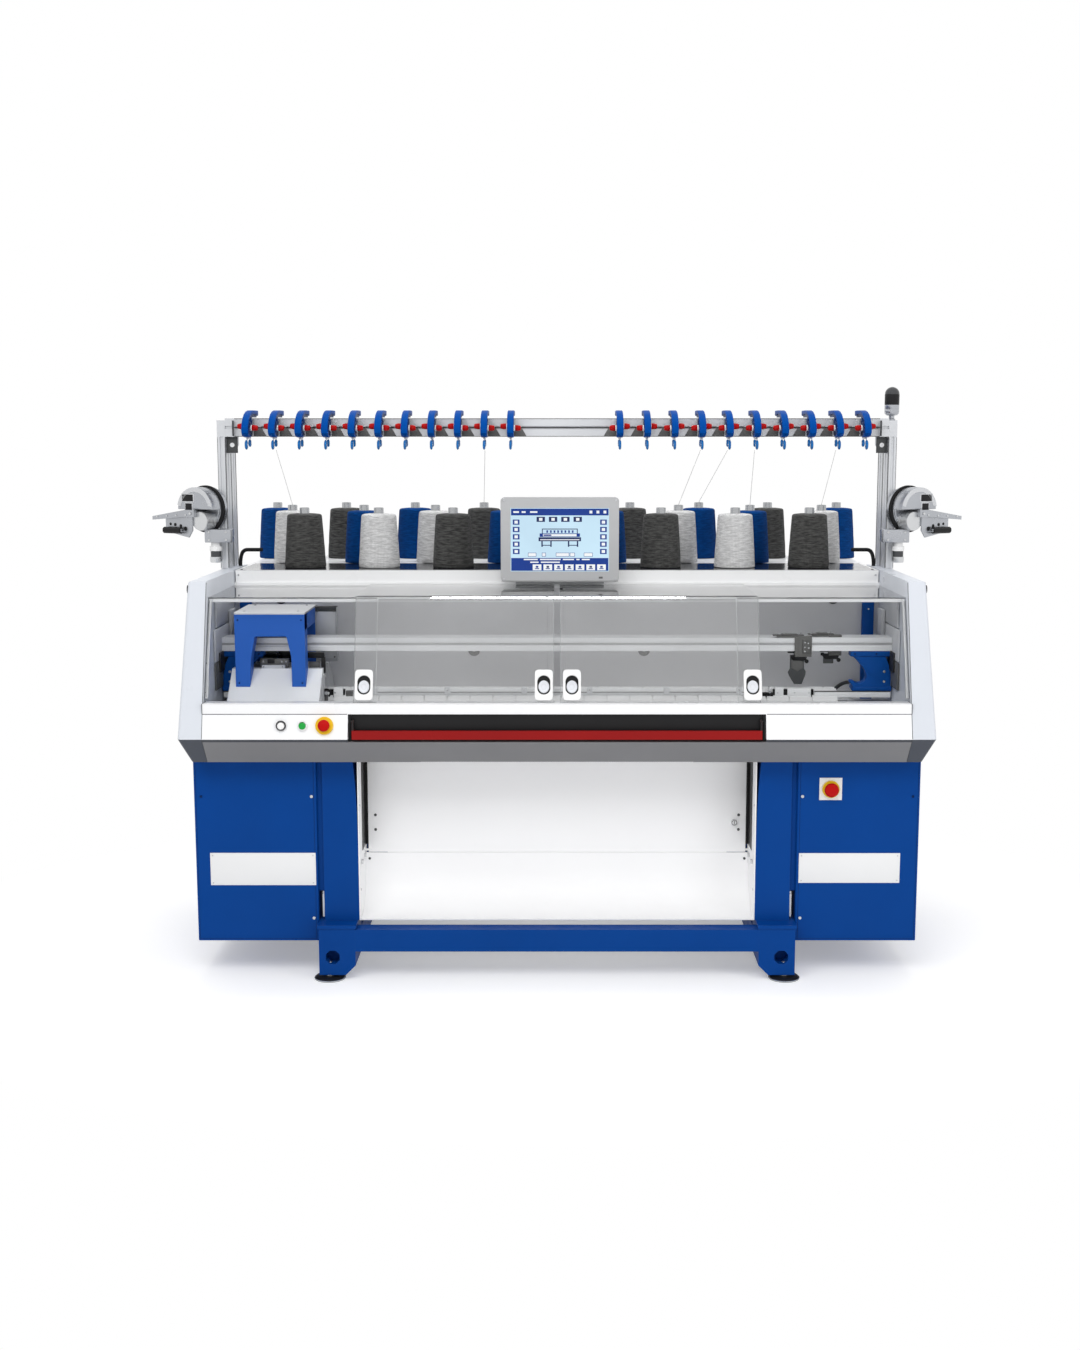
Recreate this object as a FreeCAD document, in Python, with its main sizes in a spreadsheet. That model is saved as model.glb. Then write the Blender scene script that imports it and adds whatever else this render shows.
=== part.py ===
import FreeCAD, Part
import math
import os
import re
import Sketcher
from FreeCAD import Placement, Rotation, Vector

# Flat knitting machine, in millimetres. X runs to the right along the needle beds, Y to the
# back and Z up from the floor. The origin is on the floor under the middle of the machine.

X_AXIS = Vector(1, 0, 0)
Y_AXIS = Vector(0, 1, 0)
Z_AXIS = Vector(0, 0, 1)
SIDES = (("left", -1), ("right", 1))

# Each size has one cell. Reaches are distances in front of the origin, heights are above the floor.
SIZES = (
    ("machine_width", 2520, "over the bulges of the end covers"),
    ("end_cover_width", 80, "end cover, inner face to bulge"),
    ("end_cover_top_draw", 18.5, "how far an end cover leans in at its top"),
    ("end_cover_foot_draw", 28, "how far an end cover leans in at its foot"),
    ("end_cover_back", 200, "back face of the end covers"),
    ("end_cover_round", 10, "rounding of the end covers' outer edges"),
    ("panel_depth", 45, "front panels, from their back to the foremost line"),
    ("bulge_rise", 11, "that line above the lower edge of the front panels"),
    ("hood_draw", 150, "upper front edge of the end covers behind that line"),
    ("hood_rise", 50, "top of the end covers above the sliding covers"),
    ("floor_draw", 79, "lower front edge of the body behind that line"),
    ("body_floor", 776, "underside of the body"),
    ("apron_height", 81, "apron under the front panels"),
    ("panel_height", 92, "front panels"),
    ("ledge_seat", 40, "back of the front panels before the ledge's back edge"),
    ("channel_half_width", 695, "half the width of the recess for the start bar"),
    ("channel_sheet", 8, "sheet of the recess for the start bar"),
    ("apron_thickness", 6, "apron sheet"),
    ("ledge_thickness", 34, "ledge under the sliding covers"),
    ("sill_depth", 80, "back edge of the ledge before the bed slope"),
    ("bed_run", 220, "foot of the front bed slope before the throat"),
    ("bed_floor_thickness", 14, "floor beside the bed slopes"),
    ("bed_rise", 146, "crest of the bed beams above that floor"),
    ("crest_half_width", 45, "half the width of the crest"),
    ("throat_reach", 300, "middle of the throat between the needle beds"),
    ("beam_gap", 24, "gap between the two bed beams"),
    ("needle_bed_end_gap", 45, "needle bed to the rail brackets"),
    ("needle_bed_thickness", 20, "needle bed plate"),
    ("needle_bed_width", 240, "needle bed plate along its slope"),
    ("needle_bed_overhang", 50, "how far the plate passes the crest corner"),
    ("needle_slot_pitch", 80, "pitch of the slots"),
    ("needle_slot_width", 4, "width of a slot"),
    ("needle_slot_depth", 5, "depth of a slot"),
    ("rear_floor_depth", 20, "floor between the rear bed slope and the wall"),
    ("wall_thickness", 20, "rear wall"),
    ("seam_offset", 29, "middle of a seam strip from the machine's middle"),
    ("seam_width", 12, "seam strip"),
    ("seam_thickness", 6, "seam strip"),
    ("seam_gap", 25, "seam strips and posts below the shelf"),
    ("housing_back", 540, "back of the rear housing"),
    ("shelf_back", 702.92, "back edge of the cone shelf"),
    ("shelf_set_back", 5, "front lip of the cone shelf behind the wall's face"),
    ("shelf_drop", 1, "cone shelf below the top of the end covers"),
    ("shelf_thickness", 45, "cone shelf"),
    ("shelf_side_gap", 4, "gap between the shelf and the end covers"),
    ("mat_back", 275, "back edge of the mat"),
    ("mat_thickness", 3, "mat"),
    ("mat_border", 12, "shelf border round the mat"),
    ("cone_radius", 77, "yarn cone at its foot"),
    ("cone_top_radius", 64, "yarn cone under its shoulder"),
    ("cone_height", 207, "yarn cone"),
    ("cone_core_radius", 18.5, "core tube"),
    ("cone_core_rise", 15, "core above the cone"),
    ("cone_shoulder", 24, "rounded shoulder of a cone"),
    ("cone_core_clearance", 0.4, "round the core tube"),
    ("cone_pitch", 277, "pitch of the cones in a row"),
    ("cone_row_front", 95, "front row of cones"),
    ("cone_row_middle", 335, "middle row of cones"),
    ("cone_row_back", 580, "back row of cones"),
    ("pane_bend_inset", 20, "bend of the sliding covers behind the end covers' edge"),
    ("pane_rise", 65, "sliding covers above the bow's plate"),
    ("pane_foot_inset", 5, "lower edge of the sliding covers behind the panels' back"),
    ("pane_back_gap", 10, "back edge of the sliding covers before the wall"),
    ("pane_thickness", 5, "clear sheet"),
    ("pane_gap", 1, "gap between a sliding cover and an end window"),
    ("pane_round", 14, "outer radius of the bend"),
    ("cover_inner_edge", 10, "sliding cover, edge at the machine's middle"),
    ("cover_outer_edge", 680, "sliding cover, outer edge"),
    ("window_inner_edge", 605, "end window, inner edge"),
    ("guide_height", 12, "guide bar under the bend"),
    ("guide_width", 14, "guide bar under the bend"),
    ("handle_width", 60, "handle plate"),
    ("handle_height", 104, "handle plate"),
    ("handle_thickness", 8, "handle plate"),
    ("handle_round", 12, "corner of a handle plate"),
    ("handle_recess_width", 44, "recess in a handle plate"),
    ("handle_recess_height", 66, "recess in a handle plate"),
    ("handle_foot", 8, "handle plate above the lower edge of the cover"),
    ("handle_inner", 44, "inner handles from the machine's middle"),
    ("handle_outer", 645, "outer handles from the machine's middle"),
    ("thumb_radius", 20, "thumb latch disc"),
    ("thumb_thickness", 7, "thumb latch disc"),
    ("leg_inner", 687, "inner face of the legs"),
    ("leg_outer", 808, "outer face of the legs"),
    ("leg_reach", 515, "front face of the legs"),
    ("leg_depth", 120, "leg, front to back"),
    ("leg_top_draw", 16, "how far the inner edge leans out at the top"),
    ("leg_curve_height", 446, "height where that curve starts"),
    ("leg_back", 450, "back face of the rear legs"),
    ("foot_inner", 696, "inner face of a foot bracket"),
    ("foot_outer", 822, "outer face of a foot bracket"),
    ("foot_lead", 60, "front foot brackets before the legs"),
    ("foot_height", 185, "top of a foot bracket"),
    ("foot_clearance", 19, "underside of a foot bracket"),
    ("foot_chamfer", 34, "lower inner corner of a foot bracket"),
    ("flange_thickness", 12, "flange on a foot bracket"),
    ("flange_margin", 4, "flange past the bracket"),
    ("foot_window_radius", 26, "octagonal window of a foot bracket"),
    ("foot_window_height", 82, "middle of that window"),
    ("foot_window_place", 775, "middle of that window from the machine's middle"),
    ("foot_window_depth", 55, "depth of that window"),
    ("pad_radius", 55, "foot pad"),
    ("pad_thickness", 12, "foot pad"),
    ("pad_place", 788, "foot pad from the machine's middle"),
    ("pad_lead", 35, "front foot pads before the legs"),
    ("pad_back", 485, "rear foot pads behind the origin"),
    ("spindle_radius", 8, "spindle of a foot"),
    ("spindle_top", 130, "upper end of a spindle"),
    ("spindle_clearance", 1, "round a spindle in its bracket"),
    ("spindle_nut_radius", 14, "nut of a foot, over its corners"),
    ("beam_foot", 103, "underside of the cross beams"),
    ("beam_head", 181, "top of the cross beams"),
    ("beam_depth", 60, "cross beam, front to back"),
    ("rail_foot", 60, "underside of the side rails"),
    ("rail_head", 140, "top of the side rails"),
    ("cabinet_outer", 1250, "outer face of a cabinet"),
    ("cabinet_gap", 2, "gap between a foot bracket and a cabinet"),
    ("cabinet_foot", 124, "underside of a cabinet"),
    ("cabinet_back", 400, "back of a cabinet"),
    ("cabinet_round", 6, "rounding of a cabinet's upright edges"),
    ("seal_height", 6, "seal between a cabinet and the body"),
    ("seal_inset", 8, "seal behind the cabinet's front"),
    ("flap_reach", 341, "front of the flap under the beds"),
    ("flap_thickness", 6, "flap"),
    ("flap_half_width", 672, "half the width of the flap"),
    ("flap_foot", 396, "lower edge of the flap"),
    ("flap_gap", 8, "flap below the body"),
    ("flap_pin_radius", 4, "hinge pin of the flap"),
    ("flap_pin_rise", 8, "hinge pin above the flap's lower edge"),
    ("pin_clearance", 0.05, "round a pin in its bore"),
    ("latch_place", 630, "latch of the flap from the machine's middle"),
    ("latch_rise", 109, "latch above the flap's lower edge"),
    ("latch_radius", 11, "latch knob"),
    ("latch_reach", 12, "latch knob in front of the flap"),
    ("latch_shaft_radius", 4, "shaft of the latch"),
    ("latch_cam_width", 12, "cam behind the flap"),
    ("latch_cam_length", 22, "cam behind the flap, from its shaft"),
    ("latch_play", 0.3, "knob and cam beside the flap"),
    ("cheek_thickness", 3.5, "white cheek beside the flap"),
    ("tray_thickness", 4, "tray sheet"),
    ("tray_drop", 66, "where the tray starts to bend, below the flap"),
    ("tray_bend_radius", 130, "bend of the tray"),
    ("roller_radius", 28, "take-down roller"),
    ("roller_height", 640, "axis of the take-down rollers"),
    ("roller_journal_radius", 10, "journal of a take-down roller"),
    ("roller_nip", 2, "gap between the take-down rollers"),
    ("roller_plate_thickness", 8, "side plate that holds the rollers"),
    ("roller_plate_drop", 50, "that plate below the axes"),
    ("track_pitch", 35, "pitch of the yarn rails"),
    ("track_thickness", 14, "yarn rail"),
    ("track_rise", 183, "yarn rails above the crest"),
    ("track_height", 47, "yarn rail"),
    ("track_groove", 3, "depth of the groove in a yarn rail"),
    ("track_groove_height", 14, "height of that groove"),
    ("bracket_run", 150, "inner end of a rail bracket from the end cover"),
    ("bracket_gap", 15, "outer face of a rail bracket from the end cover"),
    ("bracket_half_depth", 40, "half the depth of a rail bracket"),
    ("bracket_bar", 18, "upper bar of a rail bracket"),
    ("bracket_foot_height", 40, "foot of a rail bracket"),
    ("bracket_web", 66, "upright of a rail bracket"),
    ("bracket_draw", 24, "how far its outer edge draws in under the rails"),
    ("post_place", 1095, "blue post from the machine's middle"),
    ("post_width", 40, "blue post"),
    ("post_thickness", 18, "blue post"),
    ("carriage_park", 50, "carriage at rest from the left end cover"),
    ("bow_inset", 20, "bow from the left end of the carriage"),
    ("bow_length", 245, "bow along the beds"),
    ("bow_half_depth", 135, "half the depth of the bow"),
    ("bow_wall", 42, "front and rear wall of the bow"),
    ("bow_rise", 93, "top of the bow above the yarn rails"),
    ("bow_roof", 54, "roof of the bow"),
    ("arch_margin", 65, "leg of the bow beside its arch"),
    ("arch_rise", 18, "crown of the arch above the yarn rails"),
    ("arch_draw", 14, "how far the arch widens to its foot"),
    ("arch_round", 22, "upper corners of the arch"),
    ("bow_plate_thickness", 6, "plate on top of the bow"),
    ("cam_clearance", 0.1, "cam box above a needle bed"),
    ("cam_half_gap", 50, "half the gap between the cam boxes"),
    ("cam_half_depth", 210, "outer face of a cam box from the throat"),
    ("cam_rise", 128, "top of a cam box above the crest"),
    ("cam_head_half", 90, "outer edge of that top from the throat"),
    ("cam_front_rise", 14, "upper edge of a cam box's outer face above the crest"),
    ("drive_box_length", 76, "grey drive box beside the bow"),
    ("drive_box_lap", 50, "how far the cam boxes pass under the drive box"),
    ("feeder_half_width", 13, "half a yarn feeder across its rail"),
    ("feeder_half_length", 30, "half a yarn feeder's block along its rail"),
    ("feeder_clearance", 0.3, "round the rail in a yarn feeder"),
    ("feeder_shell", 11, "yarn feeder under its rail"),
    ("feeder_crown", 14, "yarn feeder above its rail"),
    ("feeder_plate", 5, "plate on a yarn feeder"),
    ("feeder_nose_half", 14, "half the width of a nose"),
    ("feeder_tip_half", 2, "half the width of its tip"),
    ("feeder_nose_thickness", 8, "nose of a yarn feeder"),
    ("feeder_nose_rise", 64, "tip of a yarn feeder above the crest"),
    ("feeder_nose_taper", 60, "tapered end of a yarn feeder's nose"),
    ("feeder_one", 862, "first yarn feeder at rest"),
    ("feeder_two", 972, "second yarn feeder at rest"),
    ("feeder_three", -950, "third yarn feeder at rest"),
    ("bar_height", 29, "start bar"),
    ("bar_drop", 54, "start bar below the upper edge of the panels"),
    ("bar_inset", 8, "start bar behind the foremost line"),
    ("bar_thickness", 14, "start bar"),
    ("bar_end_gap", 5, "start bar to the end of its recess"),
    ("bar_pivot_drop", 24, "pivot of the start bar below that edge"),
    ("bar_pivot_inset", 5.2, "pivot of the start bar behind that edge"),
    ("bar_pivot_radius", 4, "pivot pin of the start bar"),
    ("bar_arm", 6, "arm of the start bar"),
    ("button_drop", 37, "push buttons below the upper edge of the panels"),
    ("white_button_place", -916, "white button"),
    ("green_button_place", -845, "green button"),
    ("stop_button_place", -772, "red stop button on the panel"),
    ("button_radius", 12, "push button"),
    ("bezel_radius", 17, "ring round a push button"),
    ("bezel_rise", 8, "ring round a push button"),
    ("button_rise", 11, "face of a push button"),
    ("button_clearance", 0.3, "round a push button"),
    ("button_travel", 4, "travel of a push button"),
    ("stop_ring_radius", 30, "yellow ring of a stop button"),
    ("stop_head_radius", 20, "head of the stop button on the panel"),
    ("stop_rise", 28, "face of a stop button"),
    ("stop_stem_radius", 10, "stem of a stop button"),
    ("stop_crown", 12, "head of a stop button, front to back"),
    ("switch_place", 941, "stop button on the cabinet"),
    ("switch_drop", 106, "stop button below the top of the cabinet"),
    ("switch_head_radius", 25, "head of the stop button on the cabinet"),
    ("switch_plate", 78, "plate of the stop button on the cabinet"),
    ("switch_plate_thickness", 3, "plate of the stop button on the cabinet"),
    ("knob_radius", 14, "black knob on an end cover"),
    ("knob_drop", 30, "black knob below the top of its end cover"),
    ("knob_inset", 45, "black knob behind the end cover's edge"),
    ("knob_length", 10, "black knob"),
    ("monitor_width", 423, "monitor"),
    ("monitor_height", 302, "monitor"),
    ("monitor_thickness", 40, "monitor"),
    ("monitor_lead", 88, "front of the monitor before its arm"),
    ("monitor_gap", 4, "monitor above its stand"),
    ("monitor_place", 10, "middle of the monitor"),
    ("monitor_round", 14, "corners of the monitor"),
    ("screen_width", 352, "screen"),
    ("screen_height", 226, "screen"),
    ("screen_foot", 38, "screen above the lower edge of the monitor"),
    ("screen_rise", 1, "screen in front of the monitor's face"),
    ("screen_depth", 4, "screen behind the monitor's face"),
    ("arm_lead", 22, "axis of the monitor's arm before the shelf"),
    ("arm_radius", 11, "column of the monitor's arm"),
    ("tilt_rise", 134, "tilt axis above the lower edge of the monitor"),
    ("tilt_pin_radius", 6, "tilt pin"),
    ("tilt_pin_half", 42, "half the length of the tilt pin"),
    ("tilt_lug_thickness", 12, "lug on the monitor's back"),
    ("tilt_lug_radius", 14, "round end of a lug"),
    ("stand_plate_half", 160, "half the width of the monitor's stand"),
    ("stand_plate_depth", 48, "monitor's stand before the shelf"),
    ("stand_plate_thickness", 8, "monitor's stand"),
    ("mast_inner", 1210, "inner face of a mast"),
    ("mast_width", 30, "mast"),
    ("mast_depth", 185, "mast, front to back"),
    ("mast_height", 482, "mast"),
    ("mast_groove", 5, "depth of the grooves of a mast"),
    ("groove_width", 10, "grooves of the masts and of the beam"),
    ("end_block_depth", 70, "end block of the yarn beam"),
    ("end_block_height", 59, "end block of the yarn beam"),
    ("yarn_beam_depth", 40, "yarn beam, front to back"),
    ("yarn_beam_height", 66, "yarn beam"),
    ("yarn_beam_groove", 6, "depth of the groove of the yarn beam"),
    ("gusset", 60, "height of the gusset between a mast and the beam"),
    ("gusset_width", 42, "gusset along the beam"),
    ("gusset_thickness", 20, "gusset, front to back"),
    ("gusset_hole", 9, "radius of the hole in a gusset"),
    ("unit_thickness", 25, "yarn control unit"),
    ("unit_reach", 100, "front of a unit before the yarn beam"),
    ("unit_tail", 90, "back of a unit"),
    ("unit_heel", 18, "rear end of a unit's lower edge before the beam"),
    ("unit_rise", 29, "top of a unit above the yarn beam"),
    ("unit_drop", 12, "lower tip of a unit below the yarn beam"),
    ("unit_left_start", -1106, "first unit on the left"),
    ("unit_left_pitch", 94.1, "pitch of the left units"),
    ("unit_right_start", 225, "first unit on the right"),
    ("unit_right_pitch", 97.7, "pitch of the right units"),
    ("unit_knob_radius", 10, "tension knob"),
    ("unit_knob_length", 20, "tension knob"),
    ("unit_knob_rise", 35, "tension knob above the underside of the beam"),
    ("unit_arm_drop", 27, "yarn arm below its unit"),
    ("unit_arm_radius", 2.5, "yarn arm"),
    ("unit_arm_run", 32, "spacing of the two yarn arms"),
    ("unit_arm_lead", 43, "middle of the two yarn arms before the beam"),
    ("paddle_radius", 10, "paddle on a yarn arm"),
    ("lamp_radius", 27, "signal lamp"),
    ("lamp_stem_height", 29, "stem of the lamp"),
    ("lamp_base_height", 35, "base of the lamp"),
    ("lamp_band_height", 18, "dark band of the lamp"),
    ("lamp_dome_height", 39, "dome of the lamp"),
    ("lamp_back", 35, "lamp behind the front of the masts"),
    ("lamp_stem_radius", 10, "stem of the lamp"),
    ("feed_place", 1284, "side feed unit from the machine's middle"),
    ("feed_rise", 220, "disc of a side feed unit above the end covers"),
    ("feed_turn", 28, "how far a side feed unit faces outward"),
    ("feed_disc_radius", 86, "disc of a side feed unit"),
    ("feed_disc_thickness", 20, "disc of a side feed unit"),
    ("feed_belt_thickness", 12, "belt rim of a side feed unit"),
    ("feed_hood_depth", 58, "hood of a side feed unit"),
    ("feed_drum_radius", 34, "drum of a side feed unit"),
    ("feed_drum_length", 57, "drum of a side feed unit"),
    ("feed_drum_drop", 42, "drum below the disc's middle"),
    ("feed_drum_place", 22, "drum inward of the disc's middle"),
    ("feed_window", 22, "height of the windows in the hood"),
    ("feed_pivot_place", 8, "pivot of the lever, outward of the disc's middle"),
    ("feed_pivot_drop", 14, "pivot of the lever, below the disc's middle"),
    ("feed_shaft_radius", 5, "pivot pin of the lever"),
    ("feed_ear_thickness", 5, "plate and ears under the lever"),
    ("feed_lever_length", 180, "lever of a side feed unit"),
    ("feed_lever_height", 26, "lever of a side feed unit"),
    ("feed_lever_thickness", 14, "lever of a side feed unit"),
    ("feed_roller_radius", 12, "roller under the lever"),
    ("feed_roller_length", 78, "roller under the lever"),
    ("feed_roller_place", 50, "inner end of the roller, outward of the disc's middle"),
    ("feed_roller_drop", 76, "roller below the disc's middle"),
    ("feed_bracket_inner", 1188, "inner end of the bracket under a feed unit"),
    ("feed_bracket_drop", 120, "that bracket below the disc's middle"),
    ("feed_bracket_height", 48, "height of that bracket"),
    ("feed_bracket_depth", 60, "that bracket, front to back"),
    ("feed_can_place", 1250, "can from the machine's middle"),
    ("feed_can_radius", 22, "can under a side feed unit"),
    ("feed_can_height", 60, "can under a side feed unit"),
    ("feed_neck_height", 14, "collar of the can"),
    ("hose_radius", 7, "black hose"),
    ("hose_bend", 45, "bend of a hose"),
    ("hose_rise", 16, "straight foot of a hose"),
    ("hose_lie", 40, "straight end of a hose"),
    ("hose_inset", 14, "hose outside the end cover's inner face"),
    ("hose_back", 135, "hoses behind the origin"),
    ("yarn_radius", 0.8, "yarn thread"),
)

# Places that follow from the sizes. A later place may use an earlier one.
PLACES = (
    ("cover_inner", "machine_width / 2 - end_cover_width"),
    ("bracket_inner", "cover_inner - bracket_run"),
    ("bracket_outer", "cover_inner - bracket_gap"),
    ("needle_bed_half_length", "bracket_inner - needle_bed_end_gap"),
    ("carriage_left", "carriage_park - cover_inner"),
    ("bow_left", "carriage_left + bow_inset"),
    ("bed_front_reach", "throat_reach + bed_run"),
    ("bed_back", "throat_reach - bed_run"),
    ("wall_reach", "bed_back - rear_floor_depth"),
    ("shelf_reach", "wall_reach - shelf_set_back"),
    ("stand_plate_reach", "shelf_reach + stand_plate_depth"),
    ("arm_reach", "shelf_reach + arm_lead"),
    ("monitor_reach", "arm_reach + monitor_lead"),
    ("ledge_back_reach", "bed_front_reach + sill_depth"),
    ("panel_back_reach", "ledge_back_reach + ledge_seat"),
    ("bulge_reach", "panel_back_reach + panel_depth"),
    ("floor_reach", "bulge_reach - floor_draw"),
    ("hood_reach", "bulge_reach - hood_draw"),
    ("knob_reach", "hood_reach - knob_inset"),
    ("bar_reach", "bulge_reach - bar_inset"),
    ("pane_bend_reach", "hood_reach - pane_bend_inset"),
    ("pane_foot_reach", "panel_back_reach - pane_foot_inset"),
    ("pane_back_reach", "wall_reach + pane_back_gap"),
    ("foot_reach", "leg_reach + foot_lead"),
    ("pad_reach", "leg_reach + pad_lead"),
    ("panel_foot", "body_floor + apron_height"),
    ("panel_top", "panel_foot + panel_height"),
    ("bulge_height", "panel_foot + bulge_rise"),
    ("ledge_height", "panel_top + ledge_thickness"),
    ("bed_valley_height", "body_floor + bed_floor_thickness"),
    ("crest_height", "bed_valley_height + bed_rise"),
    ("track_foot", "crest_height + track_rise"),
    ("track_head", "track_foot + track_height"),
    ("arch_height", "track_head + arch_rise"),
    ("bow_top", "track_head + bow_rise"),
    ("cam_head", "crest_height + cam_rise"),
    ("cam_front_height", "crest_height + cam_front_rise"),
    ("bow_plate_top", "bow_top + bow_plate_thickness"),
    ("feeder_nose_height", "crest_height + feeder_nose_rise"),
    ("feeder_nose_top", "feeder_nose_height + feeder_nose_taper"),
    ("pane_top_height", "bow_plate_top + pane_rise"),
    ("hood_height", "pane_top_height + hood_rise"),
    ("knob_height", "hood_height - knob_drop"),
    ("front_lean", "atan((bulge_reach - hood_reach) / (hood_height - bulge_height))"),
    ("panel_top_reach", "bulge_reach - (panel_top - bulge_height) * tan(front_lean)"),
    ("panel_foot_reach",
     "bulge_reach - (bulge_height - panel_foot) * (bulge_reach - floor_reach) / (bulge_height - body_floor)"),
    ("bar_head", "panel_top - bar_drop"),
    ("bar_foot", "bar_head - bar_height"),
    ("bar_pivot_height", "panel_top - bar_pivot_drop"),
    ("bar_pivot_reach", "panel_top_reach - bar_pivot_inset"),
    ("button_height", "panel_top - button_drop"),
    ("bed_slope",
     "atan((crest_height - bed_valley_height) / (bed_front_reach - throat_reach - crest_half_width))"),
    ("bed_crown",
     "crest_height + needle_bed_overhang * sin(bed_slope) + needle_bed_thickness * cos(bed_slope)"),
    ("bed_crown_half",
     "crest_half_width - needle_bed_overhang * cos(bed_slope) + needle_bed_thickness * sin(bed_slope)"),
    ("pane_lean", "atan((pane_foot_reach - pane_bend_reach) / (pane_top_height - ledge_height))"),
    ("pane_bend_step", "(1 - sin(pane_lean)) / cos(pane_lean)"),
    ("window_offset", "pane_thickness + pane_gap"),
    ("shelf_half_width", "cover_inner - shelf_side_gap"),
    ("shelf_height", "hood_height - shelf_drop"),
    ("shelf_foot", "shelf_height - shelf_thickness"),
    ("wall_fitting_top", "shelf_foot - seam_gap"),
    ("stand_plate_top", "shelf_foot + stand_plate_thickness"),
    ("monitor_foot", "stand_plate_top + monitor_gap"),
    ("tilt_height", "monitor_foot + tilt_rise"),
    ("mast_top", "hood_height + mast_height"),
    ("end_block_top", "mast_top + end_block_height"),
    ("yarn_beam_top", "mast_top + yarn_beam_height"),
    ("unit_top", "yarn_beam_top + unit_rise"),
    ("unit_foot", "mast_top - unit_drop"),
    ("unit_knob_height", "mast_top + unit_knob_rise"),
    ("unit_arm_foot", "unit_foot - unit_arm_drop"),
    ("lamp_foot", "end_block_top + lamp_stem_height"),
    ("lamp_band", "lamp_foot + lamp_base_height"),
    ("lamp_dome", "lamp_band + lamp_band_height"),
    ("lamp_top", "lamp_dome + lamp_dome_height"),
    ("feed_height", "hood_height + feed_rise"),
    ("feed_bracket_foot", "feed_height - feed_bracket_drop"),
    ("flange_top", "foot_height + flange_thickness"),
    ("cabinet_inner", "foot_outer + flange_margin + cabinet_gap"),
    ("cabinet_head", "body_floor - seal_height"),
    ("switch_height", "cabinet_head - switch_drop"),
    ("flap_head", "body_floor - flap_gap"),
    ("flap_pin_height", "flap_foot + flap_pin_rise"),
    ("flap_pin_reach", "flap_reach - flap_thickness / 2"),
    ("latch_height", "flap_foot + latch_rise"),
    ("tray_bend_height", "flap_foot - tray_drop"),
    ("roller_plate_foot", "roller_height - roller_plate_drop"),
)

doc = FreeCAD.newDocument("FlatKnittingMachine")
sheet = doc.addObject("Spreadsheet::Sheet", "Sizes")
for row, (alias, size, note) in enumerate(SIZES, 1):
    sheet.set(f"A{row}", note)
    sheet.set(f"B{row}", str(size))
    sheet.setAlias(f"B{row}", alias)
doc.recompute()

size_names = {alias for alias, size, note in SIZES}
place_names = set()


def formula(text, inside=False):
    """Writes a plain formula as an expression on the sheet and the places."""
    def owner(match):
        word = match.group(0)
        if word in size_names:
            return "Sizes." + word
        if word in place_names:
            return word if inside else "Places." + word
        return word
    return re.sub(r"[a-z][a-z_]*", owner, str(text))


places = doc.addObject("App::VarSet", "Places")
for name, text in PLACES:
    places.addProperty("App::PropertyFloat", name)
    places.setExpression(name, formula(text, inside=True))
    place_names.add(name)
places.addProperty("App::PropertyFloat", "probe")
doc.recompute()


def worth(text):
    """The present value of a formula, for the shapes that are worked out here."""
    places.setExpression("probe", formula(text, inside=True))
    places.recompute()
    return places.probe


def bind(thing, **sizes):
    for name, text in sizes.items():
        thing.setExpression(name, formula(text))


def put(thing, x, y, z):
    for axis, text in zip("xyz", (x, y, z)):
        thing.setExpression("Placement.Base." + axis, formula(text))


def slab(name, x, y, z):
    """A box between two planes on each axis."""
    solid = doc.addObject("Part::Box", name)
    bind(solid, Length=f"({x[1]}) - ({x[0]})", Width=f"({y[1]}) - ({y[0]})", Height=f"({z[1]}) - ({z[0]})")
    put(solid, x[0], y[0], z[0])
    return solid


def sided(side, near, far):
    """The X range of a piece that lies between two distances from the machine's middle."""
    return (near, far) if side > 0 else (f"-({far})", f"-({near})")


def across(half):
    return (f"-({half})", half)


def rod(name, radius, length, axis, x, y, z):
    """A cylinder that starts at a point and runs along an axis."""
    solid = doc.addObject("Part::Cylinder", name)
    solid.Placement = Placement(Vector(), Rotation(Z_AXIS, axis))
    bind(solid, Radius=radius, Height=length)
    put(solid, x, y, z)
    return solid


def cut(name, base, *tools):
    for number, tool in enumerate(tools, 1):
        step = doc.addObject("Part::Cut", f"{name}_cut_{number}")
        step.Base = base
        step.Tool = tool
        base = step
    return base


def fuse(name, *shapes):
    solid = doc.addObject("Part::MultiFuse", name)
    solid.Shapes = list(shapes)
    return solid


def group(name, *shapes):
    compound = doc.addObject("Part::Compound", name)
    compound.Links = list(shapes)
    return compound


def outline(sketch, points):
    """Draws a closed outline and holds each corner by its two formulas."""
    count = len(points)
    guess = [Vector(math.cos(-2 * math.pi * i / count), math.sin(-2 * math.pi * i / count), 0) * 100
             for i in range(count)]
    for i in range(count):
        sketch.addGeometry(Part.LineSegment(guess[i], guess[(i + 1) % count]), False)
    for i in range(count):
        sketch.addConstraint(Sketcher.Constraint("Coincident", i, 2, (i + 1) % count, 1))
    for i, point in enumerate(points):
        for kind, tag, text in zip(("DistanceX", "DistanceY"), "uv", point):
            index = sketch.addConstraint(Sketcher.Constraint(kind, -1, 1, i, 1, 10.0))
            sketch.renameConstraint(index, f"{tag}{i}")
            sketch.setExpression(f"Constraints.{tag}{i}", formula(text))


def new_sketch(body, name, role, points):
    sketch = body.newObject("Sketcher::SketchObject", name)
    sketch.AttachmentSupport = [(next(f for f in body.Origin.OriginFeatures if f.Role == role), "")]
    sketch.MapMode = "FlatFace"
    outline(sketch, points)
    return sketch


def side_profile(name, points, x):
    """A body drawn in the YZ plane and drawn out along X between two planes."""
    body = doc.addObject("PartDesign::Body", name)
    sketch = new_sketch(body, name + "_outline", "YZ_Plane", points)
    pad = body.newObject("PartDesign::Pad", name + "_pad")
    pad.Profile = sketch
    bind(pad, Length=f"({x[1]}) - ({x[0]})")
    put(body, x[0], "0", "0")
    return body


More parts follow.
